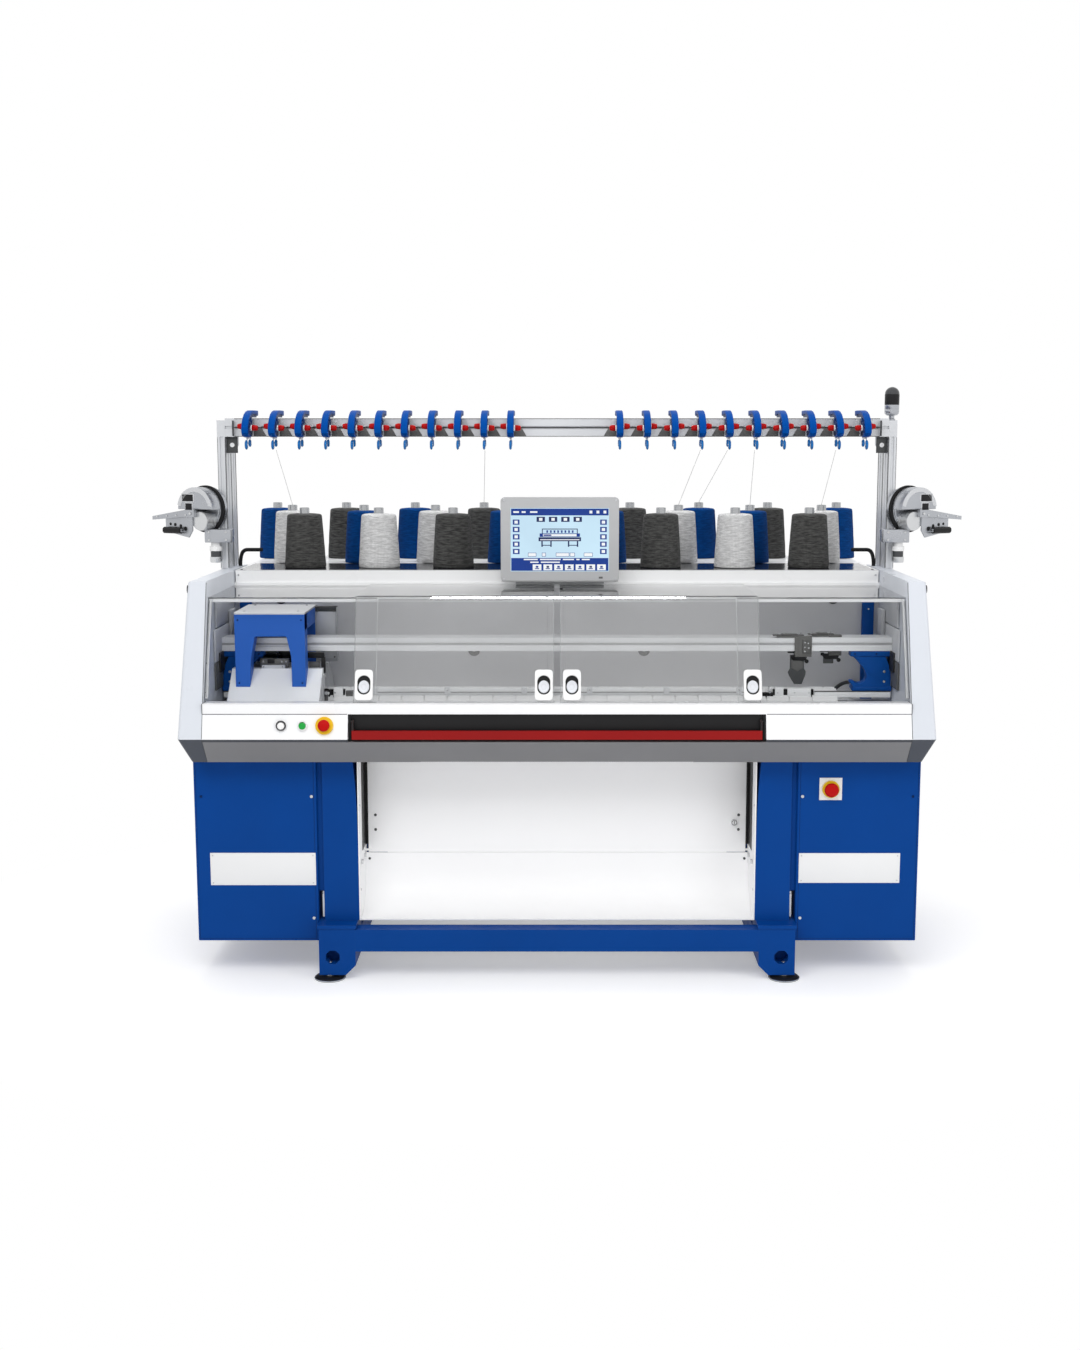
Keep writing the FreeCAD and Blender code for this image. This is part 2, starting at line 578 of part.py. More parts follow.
def front_profile(name, points, y):
    """A body drawn in the XZ plane and drawn out along Y between two planes."""
    body = doc.addObject("PartDesign::Body", name)
    sketch = new_sketch(body, name + "_outline", "XZ_Plane", points)
    pad = body.newObject("PartDesign::Pad", name + "_pad")
    pad.Profile = sketch
    bind(pad, Length=f"({y[1]}) - ({y[0]})")
    put(body, "0", y[1], "0")
    return body


def mirrored_y(points):
    """The same outline on the other side of the throat."""
    return [(f"-2 * throat_reach - ({y})", z) for y, z in points]


def round_edges(name, base, radius, wanted):
    """Rounds the edges that meet the test."""
    doc.recompute()
    size = worth(radius)
    picked = [(number, size, size) for number, edge in enumerate(base.Shape.Edges, 1) if wanted(edge)]
    fillet = doc.addObject("Part::Fillet", name)
    fillet.Base = base
    fillet.Edges = picked
    return fillet


def upright(edge):
    start, end = edge.Vertexes[0], edge.Vertexes[-1]
    return abs(start.Z - end.Z) > 1 and abs(start.X - end.X) < 0.01


def feature(name, shape, place=None):
    """A piece whose shape is worked out here from the sheet."""
    thing = doc.addObject("Part::Feature", name)
    thing.Shape = shape
    if place:
        thing.Placement = place
    return thing


def around(centre, radius, count, start=0):
    """The corners of a regular polygon in a level plane."""
    turn = 2 * math.pi / count
    return [centre + Vector(radius * math.cos(start + i * turn), radius * math.sin(start + i * turn), 0)
            for i in range(count)]


def faceted(levels, count, closed=False):
    """A many-sided turned piece about the Z axis. A closed one runs back to its first level."""
    rings = [around(Vector(0, 0, height), radius, count) for radius, height in levels]
    if closed:
        rings.append(rings[0])
    faces = []
    for low, high in zip(rings, rings[1:]):
        for i in range(count):
            j = (i + 1) % count
            faces.append(Part.Face(Part.makePolygon([low[i], low[j], high[j], high[i], low[i]])))
    if not closed:
        faces += [Part.Face(Part.makePolygon(ring + ring[:1])) for ring in (rings[0], rings[-1])]
    solid = Part.Solid(Part.Shell(faces))
    if solid.Volume < 0:
        solid.reverse()
    return solid


def drum(radius, length, start=Vector(), axis=Z_AXIS, count=18):
    """A many-sided cylinder, for round pieces that nothing turns on."""
    shape = faceted([(radius, 0), (radius, length)], count)
    shape.Placement = Placement(start, Rotation(Z_AXIS, axis))
    return shape


def prism(corners, run):
    """A prism on a closed outline of points, which may hold arcs as (middle, end) pairs."""
    edges = []
    here = corners[0]
    for corner in list(corners[1:]) + [corners[0]]:
        if isinstance(corner, tuple):
            edges.append(Part.Arc(here, corner[0], corner[1]).toShape())
            here = corner[1]
        else:
            edges.append(Part.LineSegment(here, corner).toShape())
            here = corner
    return Part.Face(Part.Wire(edges)).extrude(run)


nodes = {}


def keep(name, piece):
    piece.Label = name
    nodes[name] = piece
    return piece


# ---------------------------------------------------------------- stand

def leg_column(side):
    """A front leg, whose inner edge curves outward at its top."""
    inner, outer = worth("leg_inner"), worth("leg_outer")
    foot, head = worth("flange_top"), worth("body_floor")
    start, draw = worth("leg_curve_height"), worth("leg_top_draw")
    front = -worth("leg_reach")
    rise = head - start
    radius = (rise ** 2 + draw ** 2) / (2 * draw)
    half = math.asin(rise / radius) / 2
    corner = [(inner, foot), (outer, foot), (outer, head), (inner + draw, head)]
    middle = (inner + radius * (1 - math.cos(half)), start + radius * math.sin(half))
    points = [Vector(side * x, front, z) for x, z in corner]
    points.append((Vector(side * middle[0], front, middle[1]), Vector(side * inner, front, start)))
    return prism(points, Vector(0, worth("leg_depth"), 0))


def foot_bracket(name, side, front):
    """A foot bracket with its chamfered corner, its octagonal window and its spindle bore."""
    y = (("-foot_reach", "leg_depth - leg_reach") if front
         else ("leg_back - leg_depth", "leg_back + foot_reach - leg_reach"))
    sign = "" if side > 0 else "-"
    points = [(f"{sign}(foot_inner + foot_chamfer)", "foot_clearance"),
              (f"{sign}foot_outer", "foot_clearance"),
              (f"{sign}foot_outer", "foot_height"),
              (f"{sign}foot_inner", "foot_height"),
              (f"{sign}foot_inner", "foot_clearance + foot_chamfer")]
    block = front_profile(name + "_block", points, y)
    window = doc.addObject("Part::Prism", name + "_window")
    window.Polygon = 8
    window.Placement = Placement(Vector(), Rotation(Z_AXIS, Y_AXIS) * Rotation(Z_AXIS, 22.5))
    bind(window, Circumradius="foot_window_radius", Height="foot_window_depth")
    window_start = y[0] if front else f"{y[1]} - foot_window_depth"
    put(window, f"{sign}foot_window_place", window_start, "foot_window_height")
    bore = doc.addObject("Part::Prism", name + "_bore")
    bore.Polygon = 8
    bind(bore, Circumradius="spindle_radius + spindle_clearance", Height="spindle_top - foot_clearance + 1")
    put(bore, f"{sign}pad_place", "-pad_reach" if front else "pad_back", "foot_clearance - 0.5")
    return cut(name, block, window, bore)


def build_stand():
    pieces = []
    for side_name, side in SIDES:
        x_foot = sided(side, "foot_inner - flange_margin", "foot_outer + flange_margin")
        x_leg = sided(side, "leg_inner", "leg_outer")
        pieces.append(feature(f"front_leg_{side_name}", leg_column(side)))
        pieces.append(slab(f"rear_leg_{side_name}", x_leg, ("leg_back - leg_depth", "leg_back"),
                           ("flange_top", "body_floor")))
        pieces.append(foot_bracket(f"front_foot_{side_name}", side, True))
        pieces.append(foot_bracket(f"rear_foot_{side_name}", side, False))
        pieces.append(slab(f"front_flange_{side_name}", x_foot,
                           ("-foot_reach - flange_margin", "leg_depth - leg_reach"),
                           ("foot_height", "flange_top")))
        pieces.append(slab(f"rear_flange_{side_name}", x_foot,
                           ("leg_back - leg_depth", "leg_back + foot_reach - leg_reach + flange_margin"),
                           ("foot_height", "flange_top")))
        pieces.append(slab(f"side_rail_{side_name}", sided(side, "foot_inner", "leg_outer"),
                           ("leg_depth - leg_reach", "leg_back - leg_depth"), ("rail_foot", "rail_head")))
    pieces.append(slab("front_beam", across("foot_inner"), ("-foot_reach", "beam_depth - foot_reach"),
                       ("beam_foot", "beam_head")))
    pieces.append(slab("rear_beam", across("foot_inner"), ("leg_back - beam_depth", "leg_back"),
                       ("beam_foot", "beam_head")))
    keep("stand", group("stand_pieces", *pieces))


def build_feet():
    """Pads with a nut under the bracket and a spindle up into it."""
    pad, thick = worth("pad_radius"), worth("pad_thickness")
    shank, nut = worth("spindle_radius"), worth("spindle_nut_radius")
    under, top = worth("foot_clearance"), worth("spindle_top")
    dish = faceted([(pad, 0), (pad, thick / 2), (pad * 0.86, thick)], 16)
    feet = []
    for side_name, side in SIDES:
        for y in (-worth("pad_reach"), worth("pad_back")):
            centre = Vector(side * worth("pad_place"), y, 0)
            shaft = drum(shank, top - thick, centre + Vector(0, 0, thick), count=8)
            hexagon = prism(around(centre + Vector(0, 0, thick), nut, 6), Vector(0, 0, under - thick))
            feet.append(dish.translated(centre).fuse([hexagon, shaft]))
    keep("levelling_feet", feature("feet", Part.makeCompound([s for foot in feet for s in foot.Solids])))


# ---------------------------------------------------------------- body

def bed_beam_points():
    return [("-bed_front_reach", "body_floor"),
            ("-bed_front_reach", "bed_valley_height"),
            ("-throat_reach - crest_half_width", "crest_height"),
            ("-throat_reach - beam_gap / 2", "crest_height"),
            ("-throat_reach - beam_gap / 2", "body_floor")]


def build_bed_base():
    """Two sloped bed beams, the front box that carries the panels, and the ties at both ends."""
    width = across("cover_inner")
    front = side_profile("front_bed_beam", bed_beam_points(), width)
    rear = side_profile("rear_bed_beam", mirrored_y(bed_beam_points()), width)
    box_points = [("apron_thickness - floor_reach", "body_floor"),
                  ("-panel_back_reach", "panel_foot"),
                  ("-panel_back_reach", "panel_top"),
                  ("-ledge_back_reach", "panel_top"),
                  ("-bed_front_reach", "bed_valley_height"),
                  ("-bed_front_reach", "body_floor")]
    box = side_profile("front_box", box_points, width)
    floor = slab("rear_floor", width, ("-bed_back", "-wall_reach"), ("body_floor", "bed_valley_height"))
    ties = [slab(f"tie_{name}", sided(side, "bracket_inner", "cover_inner"),
                 ("-throat_reach - beam_gap / 2", "-throat_reach + beam_gap / 2"),
                 ("body_floor", "crest_height")) for name, side in SIDES]
    keep("bed_base", group("bed_base_pieces", front, rear, box, floor, *ties))


def needle_bed(name, side):
    """A plate with needle slots, laid on the slope of its beam. Side is -1 in front, 1 behind."""
    body = doc.addObject("PartDesign::Body", name)
    half = "needle_bed_half_length"
    plate = new_sketch(body, name + "_plate", "XY_Plane",
                       [(f"-{half}", "0"), (half, "0"), (half, "needle_bed_width"),
                        (f"-{half}", "needle_bed_width")])
    pad = body.newObject("PartDesign::Pad", name + "_pad")
    pad.Profile = plate
    bind(pad, Length="needle_bed_thickness")
    first = f"-{half} + needle_slot_pitch / 2"
    slot = new_sketch(body, name + "_slot", "XY_Plane",
                      [(f"{first} - needle_slot_width / 2", "-1"),
                       (f"{first} + needle_slot_width / 2", "-1"),
                       (f"{first} + needle_slot_width / 2", "needle_bed_width + 1"),
                       (f"{first} - needle_slot_width / 2", "needle_bed_width + 1")])
    slot.setExpression("AttachmentOffset.Base.z", formula("needle_bed_thickness - needle_slot_depth"))
    pocket = body.newObject("PartDesign::Pocket", name + "_pocket")
    pocket.Profile = slot
    pocket.Reversed = True
    bind(pocket, Length="needle_slot_depth + 1")
    pattern = body.newObject("PartDesign::LinearPattern", name + "_slots")
    pattern.Originals = [pocket]
    pattern.Direction = (plate, ["H_Axis"])
    count = int(worth("2 * needle_bed_half_length / needle_slot_pitch"))
    pattern.Occurrences = count
    bind(pattern, Length=f"({count} - 1) * needle_slot_pitch")
    body.Tip = pattern
    lean = Rotation(X_AXIS, worth("bed_slope"))
    body.Placement = Placement(Vector(), lean if side < 0 else Rotation(Z_AXIS, 180) * lean)
    reach = "(needle_bed_width - needle_bed_overhang)"
    foot = f"crest_half_width + {reach} * cos(bed_slope)"
    put(body, "0", f"-throat_reach {'-' if side < 0 else '+'} ({foot})",
        f"crest_height - {reach} * sin(bed_slope)")
    return body


def build_needle_beds():
    keep("needle_beds", group("needle_bed_plates", needle_bed("front_needle_bed", -1),
                              needle_bed("rear_needle_bed", 1)))


def build_end_covers():
    """Side housings, bulged in front and drawn in at the top and at the foot."""
    covers = []
    for name, side in SIDES:
        sign = "" if side > 0 else "-"
        side_view = [("-floor_reach", "body_floor"), ("-bulge_reach", "bulge_height"),
                     ("-hood_reach", "hood_height"), ("end_cover_back", "hood_height"),
                     ("end_cover_back", "body_floor")]
        front_view = [(f"{sign}cover_inner", "body_floor"),
                      (f"{sign}(machine_width / 2 - end_cover_foot_draw)", "body_floor"),
                      (f"{sign}machine_width / 2", "bulge_height"),
                      (f"{sign}(machine_width / 2 - end_cover_top_draw)", "hood_height"),
                      (f"{sign}cover_inner", "hood_height")]
        first = side_profile(f"end_side_{name}", side_view, sided(side, "cover_inner", "machine_width / 2"))
        second = front_profile(f"end_front_{name}", front_view, ("-bulge_reach", "end_cover_back"))
        both = doc.addObject("Part::MultiCommon", f"end_cover_{name}")
        both.Shapes = [first, second]
        inner = worth("cover_inner")
        covers.append(round_edges(f"end_round_{name}", both, "end_cover_round",
                                  lambda edge: all(abs(v.Point.x) > inner + 1 for v in edge.Vertexes)))
    keep("end_covers", group("end_cover_pair", *covers))


def build_end_knobs():
    start = worth("machine_width / 2 - end_cover_top_draw * (knob_height + knob_radius - bulge_height)"
                  " / (hood_height - bulge_height) + 1")
    knobs = [drum(worth("knob_radius"), worth("knob_length"),
                  Vector(side * start, -worth("knob_reach"), worth("knob_height")), X_AXIS * side)
             for name, side in SIDES]
    keep("end_knobs", feature("end_knob_pair", Part.makeCompound(knobs)))


def build_front_panels():
    points = [("-panel_back_reach", "panel_top"), ("-panel_top_reach", "panel_top"),
              ("-bulge_reach", "bulge_height"), ("-panel_foot_reach", "panel_foot"),
              ("-panel_back_reach", "panel_foot")]
    panels = [side_profile(f"front_panel_{name}", points, sided(side, "channel_half_width", "cover_inner"))
              for name, side in SIDES]
    ledge = slab("ledge", across("cover_inner"), ("-panel_top_reach", "-ledge_back_reach"),
                 ("panel_top", "ledge_height"))
    window_inside = "(window_offset + pane_thickness)"
    guide = slab("cover_guide", across("cover_inner"),
                 ("-pane_bend_reach + pane_round + 2 * pane_gap",
                  "-pane_bend_reach + pane_round + 2 * pane_gap + guide_width"),
                 (f"pane_top_height - {window_inside} - guide_height", f"pane_top_height - {window_inside}"))
    keep("front_panels", group("front_panel_pieces", *panels, ledge, guide))


def build_black_trim():
    """The recess behind the start bar with its bored end plates, and the seals on the cabinets."""
    back = slab("channel_back", across("channel_half_width"),
                ("-panel_back_reach - channel_sheet", "-panel_back_reach"), ("panel_foot", "panel_top"))
    pieces = [back]
    for name, side in SIDES:
        plate = slab(f"channel_end_{name}", sided(side, "channel_half_width - channel_sheet",
                                                  "channel_half_width"),
                     ("-panel_top_reach", "-panel_back_reach - channel_sheet"), ("panel_foot", "panel_top"))
        bore = rod(f"channel_bore_{name}", "bar_pivot_radius + pin_clearance", "channel_sheet + 2",
                   Vector(side, 0, 0), f"{side} * (channel_half_width - channel_sheet - 1)",
                   "-bar_pivot_reach", "bar_pivot_height")
        pieces.append(cut(f"channel_plate_{name}", plate, bore))
        pieces.append(slab(f"seal_{name}", sided(side, "cabinet_inner + seal_inset",
                                                 "machine_width / 2 - end_cover_foot_draw - seal_inset"),
                           ("seal_inset - leg_reach", "end_cover_back - seal_inset"),
                           ("cabinet_head", "body_floor")))
    keep("black_trim", group("black_trim_pieces", *pieces))


def build_apron():
    points = [("-panel_back_reach", "panel_foot"), ("-panel_foot_reach", "panel_foot"),
              ("-floor_reach", "body_floor"), ("apron_thickness - floor_reach", "body_floor")]
    keep("apron", side_profile("apron_sheet", points, across("cover_inner")))


def build_rear_wall():
    wall = slab("rear_sheet", across("cover_inner"), ("-wall_reach", "wall_thickness - wall_reach"),
                ("body_floor", "shelf_foot"))
    seams = [slab(f"seam_{name}", sided(side, "seam_offset - seam_width / 2",
                                        "seam_offset + seam_width / 2"),
                  ("-wall_reach - seam_thickness", "-wall_reach"), ("bed_valley_height", "wall_fitting_top"))
             for name, side in SIDES]
    housing = slab("rear_housing", across("shelf_half_width"),
                   ("wall_thickness - wall_reach", "housing_back"), ("body_floor", "shelf_foot"))
    keep("rear_wall", group("rear_wall_pieces", wall, housing, *seams))


def build_cabinets():
    boxes = []
    for name, side in SIDES:
        box = slab(f"cabinet_box_{name}", sided(side, "cabinet_inner", "cabinet_outer"),
                   ("-leg_reach", "cabinet_back"), ("cabinet_foot", "cabinet_head"))
        boxes.append(round_edges(f"cabinet_{name}", box, "cabinet_round", upright))
    keep("cabinets", group("cabinet_pair", *boxes))


# ---------------------------------------------------------------- covers

def bent_sheet(name, offset, back_reach, foot_height, x):
    """A clear sheet bent over the front of the machine, at an offset inside the outermost one."""
    def bend(depth):
        return (f"-pane_bend_reach + ({depth}) * pane_bend_step", f"pane_top_height - ({depth})")

    def foot(depth):
        run = f"(pane_top_height - ({foot_height})) * tan(pane_lean)"
        return (f"-pane_bend_reach - {run} + ({depth}) / cos(pane_lean)", foot_height)

    inside = f"{offset} + pane_thickness"
    points = [(f"-{back_reach}", f"pane_top_height - ({offset})"), bend(offset), foot(offset), foot(inside),
              bend(inside), (f"-{back_reach}", f"pane_top_height - ({inside})")]
    body = side_profile(name, points, x)
    doc.recompute()
    level, near = worth("pane_top_height"), 3 * worth("window_offset")
    bends = [number for number, edge in enumerate(body.Shape.Edges, 1)
             if edge.Length > near and all(abs(v.Y + worth("pane_bend_reach")) < near and v.Z > level - near
                                           for v in edge.Vertexes)]
    outer, inner = sorted(bends, key=lambda number: -body.Shape.Edges[number - 1].Vertexes[0].Z)
    fillet = doc.addObject("Part::Fillet", name + "_bend")
    fillet.Base = body
    round_out = worth("pane_round")
    round_in = round_out - worth("pane_thickness")
    fillet.Edges = [(outer, round_out, round_out), (inner, round_in, round_in)]
    return fillet


def build_covers():
    windows = [bent_sheet(f"window_{name}", "window_offset", "wall_reach", "ledge_height",
                          sided(side, "window_inner_edge", "cover_inner")) for name, side in SIDES]
    keep("end_windows", group("end_window_pair", *windows))
    for name, side in SIDES:
        keep(f"cover_{name}", bent_sheet(f"sliding_{name}", "0", "pane_back_reach", "ledge_height + 0.3",
                                         sided(side, "cover_inner_edge", "cover_outer_edge")))


def pane_frame():
    """The turn of a piece that lies on the leaning front pane, and the pane's directions."""
    lean = math.radians(worth("pane_lean"))
    turn = Rotation(X_AXIS, 90 - worth("pane_lean"))
    up = Vector(0, math.sin(lean), math.cos(lean))
    out = Vector(0, -math.cos(lean), math.sin(lean))
    return turn, up, out


def handle_centre(x):
    turn, up, out = pane_frame()
    foot = Vector(x, -worth("pane_foot_reach"), worth("ledge_height"))
    return foot + up * (worth("handle_foot") + worth("handle_height") / 2)


def handle_places():
    return (("left_outer", -worth("handle_outer")), ("left_inner", -worth("handle_inner")),
            ("right_inner", worth("handle_inner") + 6), ("right_outer", worth("handle_outer") + 9))


def rounded_plate(width, height, thickness, radius):
    """A centred plate with rounded corners, from z 0."""
    corners = []
    for quarter, (x, y) in enumerate(((1, 1), (-1, 1), (-1, -1), (1, -1))):
        centre = Vector(x * (width / 2 - radius), y * (height / 2 - radius), 0)
        for step in range(5):
            angle = (quarter + step / 4) * math.pi / 2
            corners.append(centre + Vector(radius * math.cos(angle), radius * math.sin(angle), 0))
    return prism(corners, Vector(0, 0, thickness))


def build_handles():
    """White plates with a recess, and the silver thumb discs that slide in them."""
    turn, up, out = pane_frame()
    thick = worth("handle_thickness")
    plate = rounded_plate(worth("handle_width"), worth("handle_height"), thick, worth("handle_round"))
    recess_width = worth("handle_recess_width")
    recess = rounded_plate(recess_width, worth("handle_recess_height"), thick + 2, recess_width / 2 - 0.1)
    plate = plate.cut(recess.translated(Vector(0, 0, -1)))
    disc_drop = worth("handle_recess_height / 2 - thumb_radius - 2")
    found = {"left": [], "right": []}
    for name, x in handle_places():
        centre = handle_centre(x)
        shape = plate.copy()
        shape.Placement = Placement(centre, turn)
        found[name.split("_")[0]].append(shape)
        disc = drum(worth("thumb_radius"), worth("thumb_thickness"))
        keep(f"thumb_{name}", feature(f"thumb_disc_{name}", disc, Placement(centre - up * disc_drop, turn)))
    for name, shapes in found.items():
        keep(f"handles_{name}", feature(f"handle_plates_{name}",
                                        Part.makeCompound([s for shape in shapes for s in shape.Solids])))


# ---------------------------------------------------------------- shelf and cones

def build_shelf():
    tray = slab("shelf_tray", across("shelf_half_width"), ("-shelf_reach", "shelf_back"),
                ("shelf_foot", "shelf_height"))
    mat_x = across("shelf_half_width - mat_border")
    mat_y = ("mat_border - shelf_reach", "mat_back")
    mat_z = ("shelf_height - mat_thickness", "shelf_height")
    recess = slab("mat_recess", mat_x, mat_y, ("shelf_height - mat_thickness", "shelf_height + 1"))
    keep("shelf", cut("shelf_body", tray, recess))
    keep("shelf_mat", slab("mat", mat_x, mat_y, mat_z))


def cone_places():
    """Colour, row and X place of each yarn cone."""
    pitch = worth("cone_pitch")
    front = [((i + 0.4) * pitch, worth("cone_row_front"), colour)
             for i, colour in enumerate(("light", "dark", "light", "dark"))]
    middle = [((i + 0.7) * pitch, worth("cone_row_middle"), colour)
              for i, colour in enumerate(("blue", "light", "blue", "light"))]
    back = [((i + 1.06) * pitch, worth("cone_row_back"), colour)
            for i, colour in enumerate(("dark", "blue", "dark", "blue"))]
    return [(side * x, y, colour) for side in (-1, 1) for x, y, colour in front + middle + back]


def build_cones():
    foot, radius, top = worth("shelf_height"), worth("cone_radius"), worth("cone_top_radius")
    tall, core, rise = worth("cone_height"), worth("cone_core_radius"), worth("cone_core_rise")
    shoulder, bore = worth("cone_shoulder"), core + worth("cone_core_clearance") + 1
    wound = [(bore, 0), (radius, 0), (top, tall - shoulder), (top - shoulder, tall), (bore, tall)]
    cone_shape = faceted(wound, 12, closed=True)
    spool_shape = faceted([(core, 0), (core, tall + rise)], 8)
    cones, spools = {"dark": [], "light": [], "blue": []}, []
    for x, y, colour in cone_places():
        cones[colour].append(cone_shape.translated(Vector(x, y, foot)))
        spools.append(spool_shape.translated(Vector(x, y, foot)))
    for colour, shapes in cones.items():
        keep(f"cones_{colour}", feature(f"cone_set_{colour}", Part.makeCompound(shapes)))
    keep("cone_cores", feature("cone_spools", Part.makeCompound(spools)))


# ---------------------------------------------------------------- monitor

def build_monitor():
    """A stand on the shelf lip, an arm that swivels on it and a monitor that tilts on the arm."""
    plate = slab("stand_plate", ("monitor_place - stand_plate_half", "monitor_place + stand_plate_half"),
                 ("-stand_plate_reach", "-shelf_reach"), ("shelf_foot", "stand_plate_top"))
    keep("monitor_stand", plate)
    column = rod("arm_column", "arm_radius", "tilt_height - stand_plate_top", Z_AXIS, "monitor_place",
                 "-arm_reach", "stand_plate_top")
    pin = rod("arm_pin", "tilt_pin_radius", "2 * tilt_pin_half", X_AXIS, "monitor_place - tilt_pin_half",
              "-arm_reach", "tilt_height")
    keep("monitor_arm", fuse("arm", column, pin))
    box = slab("monitor_box", ("monitor_place - monitor_width / 2", "monitor_place + monitor_width / 2"),
               ("-monitor_reach", "monitor_thickness - monitor_reach"),
               ("monitor_foot", "monitor_foot + monitor_height"))
    corner_x = worth("monitor_width") / 2
    middle = worth("monitor_place")
    rounded = round_edges("monitor_rounded", box, "monitor_round", lambda edge: all(
        abs(abs(v.X - middle) - corner_x) < 0.01 for v in edge.Vertexes) and
        abs(edge.Vertexes[0].Y - edge.Vertexes[-1].Y) > 1)
    screen_x = ("monitor_place - screen_width / 2", "monitor_place + screen_width / 2")
    screen_z = ("monitor_foot + screen_foot", "monitor_foot + screen_foot + screen_height")
    pocket = slab("screen_pocket", screen_x, ("-monitor_reach - 1", "screen_depth - monitor_reach"), screen_z)
    lugs = []
    for name, side in SIDES:
        inner = "tilt_pin_half - tilt_lug_thickness"
        start = (f"monitor_place + {inner}" if side > 0 else "monitor_place - tilt_pin_half")
        end = ("monitor_place + tilt_pin_half" if side > 0 else f"monitor_place - ({inner})")
        arm = slab(f"lug_{name}", (start, end), ("monitor_thickness - monitor_reach", "-arm_reach"),
                   ("tilt_height - tilt_lug_radius", "tilt_height + tilt_lug_radius"))
        eye = rod(f"lug_eye_{name}", "tilt_lug_radius", "tilt_lug_thickness", X_AXIS, start, "-arm_reach",
                  "tilt_height")
        lugs += [arm, eye]
    bore = rod("lug_bore", "tilt_pin_radius + pin_clearance", "2 * tilt_pin_half + 2", X_AXIS,
               "monitor_place - tilt_pin_half - 1", "-arm_reach", "tilt_height")
    keep("monitor_housing", cut("monitor_shell", fuse("monitor_solid", rounded, *lugs), pocket, bore))
    keep("monitor_screen", slab("screen_glass", screen_x, ("-monitor_reach - screen_rise",
                                                            "screen_depth - monitor_reach"), screen_z))


# ---------------------------------------------------------------- yarn frame

def build_yarn_frame():
    """Two grooved masts with end blocks and pierced gussets, and the grooved beam between them."""
    pieces = []
    for name, side in SIDES:
        x = sided(side, "mast_inner", "mast_inner + mast_width")
        mast = slab(f"mast_bar_{name}", x, ("0", "mast_depth"), ("hood_height", "mast_top"))
        height = ("hood_height - 1", "mast_top + 1")
        slots = []
        for part, share in (("low", 0.25), ("high", 0.75)):
            depth = (f"mast_depth * {share} - groove_width / 2", f"mast_depth * {share} + groove_width / 2")
            slots.append(slab(f"mast_slot_{name}_{part}",
                              sided(side, "mast_inner - 1", "mast_inner + mast_groove"), depth, height))
        slots.append(slab(f"mast_slot_{name}_front",
                          sided(side, "mast_inner + (mast_width - groove_width) / 2",
                                "mast_inner + (mast_width + groove_width) / 2"),
                          ("-1", "mast_groove"), height))
        pieces.append(cut(f"mast_{name}", mast, *slots))
        pieces.append(slab(f"end_block_{name}", x, ("0", "end_block_depth"), ("mast_top", "end_block_top")))
        pieces.append(feature(f"gusset_{name}", gusset(side)))
    beam = slab("yarn_beam_bar", across("mast_inner"), ("0", "yarn_beam_depth"),
                ("mast_top", "yarn_beam_top"))
    slot = slab("yarn_beam_slot", across("mast_inner + 1"), ("-1", "yarn_beam_groove"),
                ("(mast_top + yarn_beam_top - groove_width) / 2",
                 "(mast_top + yarn_beam_top + groove_width) / 2"))
    pieces.append(cut("yarn_beam", beam, slot))
    keep("yarn_frame", group("yarn_frame_pieces", *pieces))


def gusset(side):
    """A plate in the corner under the beam, with a slanting lower edge and a round hole."""
    inner, wide, tall = worth("mast_inner"), worth("gusset_width"), worth("gusset")
    thick, top, hole = worth("gusset_thickness"), worth("mast_top"), worth("gusset_hole")
    y = worth("yarn_beam_depth") - thick
    corners = [Vector(side * x, y, z) for x, z in ((inner, top), (inner, top - tall),
                                                   (inner - wide / 2, top - tall),
                                                   (inner - wide, top - tall / 2), (inner - wide, top))]
    bore = drum(hole, thick + 2, Vector(side * (inner - wide / 2), y - 1, top - tall / 2), Y_AXIS, 12)
    return prism(corners, Vector(0, thick, 0)).cut(bore)


def unit_places():
    """X of each yarn control unit and the side that its knobs point to."""
    left = [(worth("unit_left_start") + i * worth("unit_left_pitch"), 1) for i in range(11)]
    right = [(worth("unit_right_start") + i * worth("unit_right_pitch"), -1) for i in range(10)]
    return left + right


def unit_housing():
    """A curved fin that hooks over the yarn beam, in the plane x = 0."""
    reach, tail = -worth("unit_reach"), worth("unit_tail")
    top, tip = worth("unit_top"), worth("unit_foot")
    beam_back, beam_top, seat = worth("yarn_beam_depth"), worth("yarn_beam_top"), worth("mast_top")
    bulge = (top + tip) / 2
    corners = [Vector(0, tail, top), Vector(0, tail, beam_top), Vector(0, beam_back, beam_top),
               Vector(0, 0, beam_top), Vector(0, 0, seat), Vector(0, -worth("unit_heel"), tip),
               Vector(0, reach * 0.6, tip), Vector(0, reach * 0.93, (bulge + tip) / 2),
               Vector(0, reach * 0.93, (bulge + top) / 2), Vector(0, reach * 0.55, top)]
    return prism(corners, Vector(worth("unit_thickness"), 0, 0))


def round_bar(radius, run, count, start):
    """A many-sided bar along X."""
    turn = 2 * math.pi / count
    corners = [start + Vector(0, radius * math.cos((i + 0.5) * turn), radius * math.sin((i + 0.5) * turn))
               for i in range(count)]
    return prism(corners, Vector(run, 0, 0))


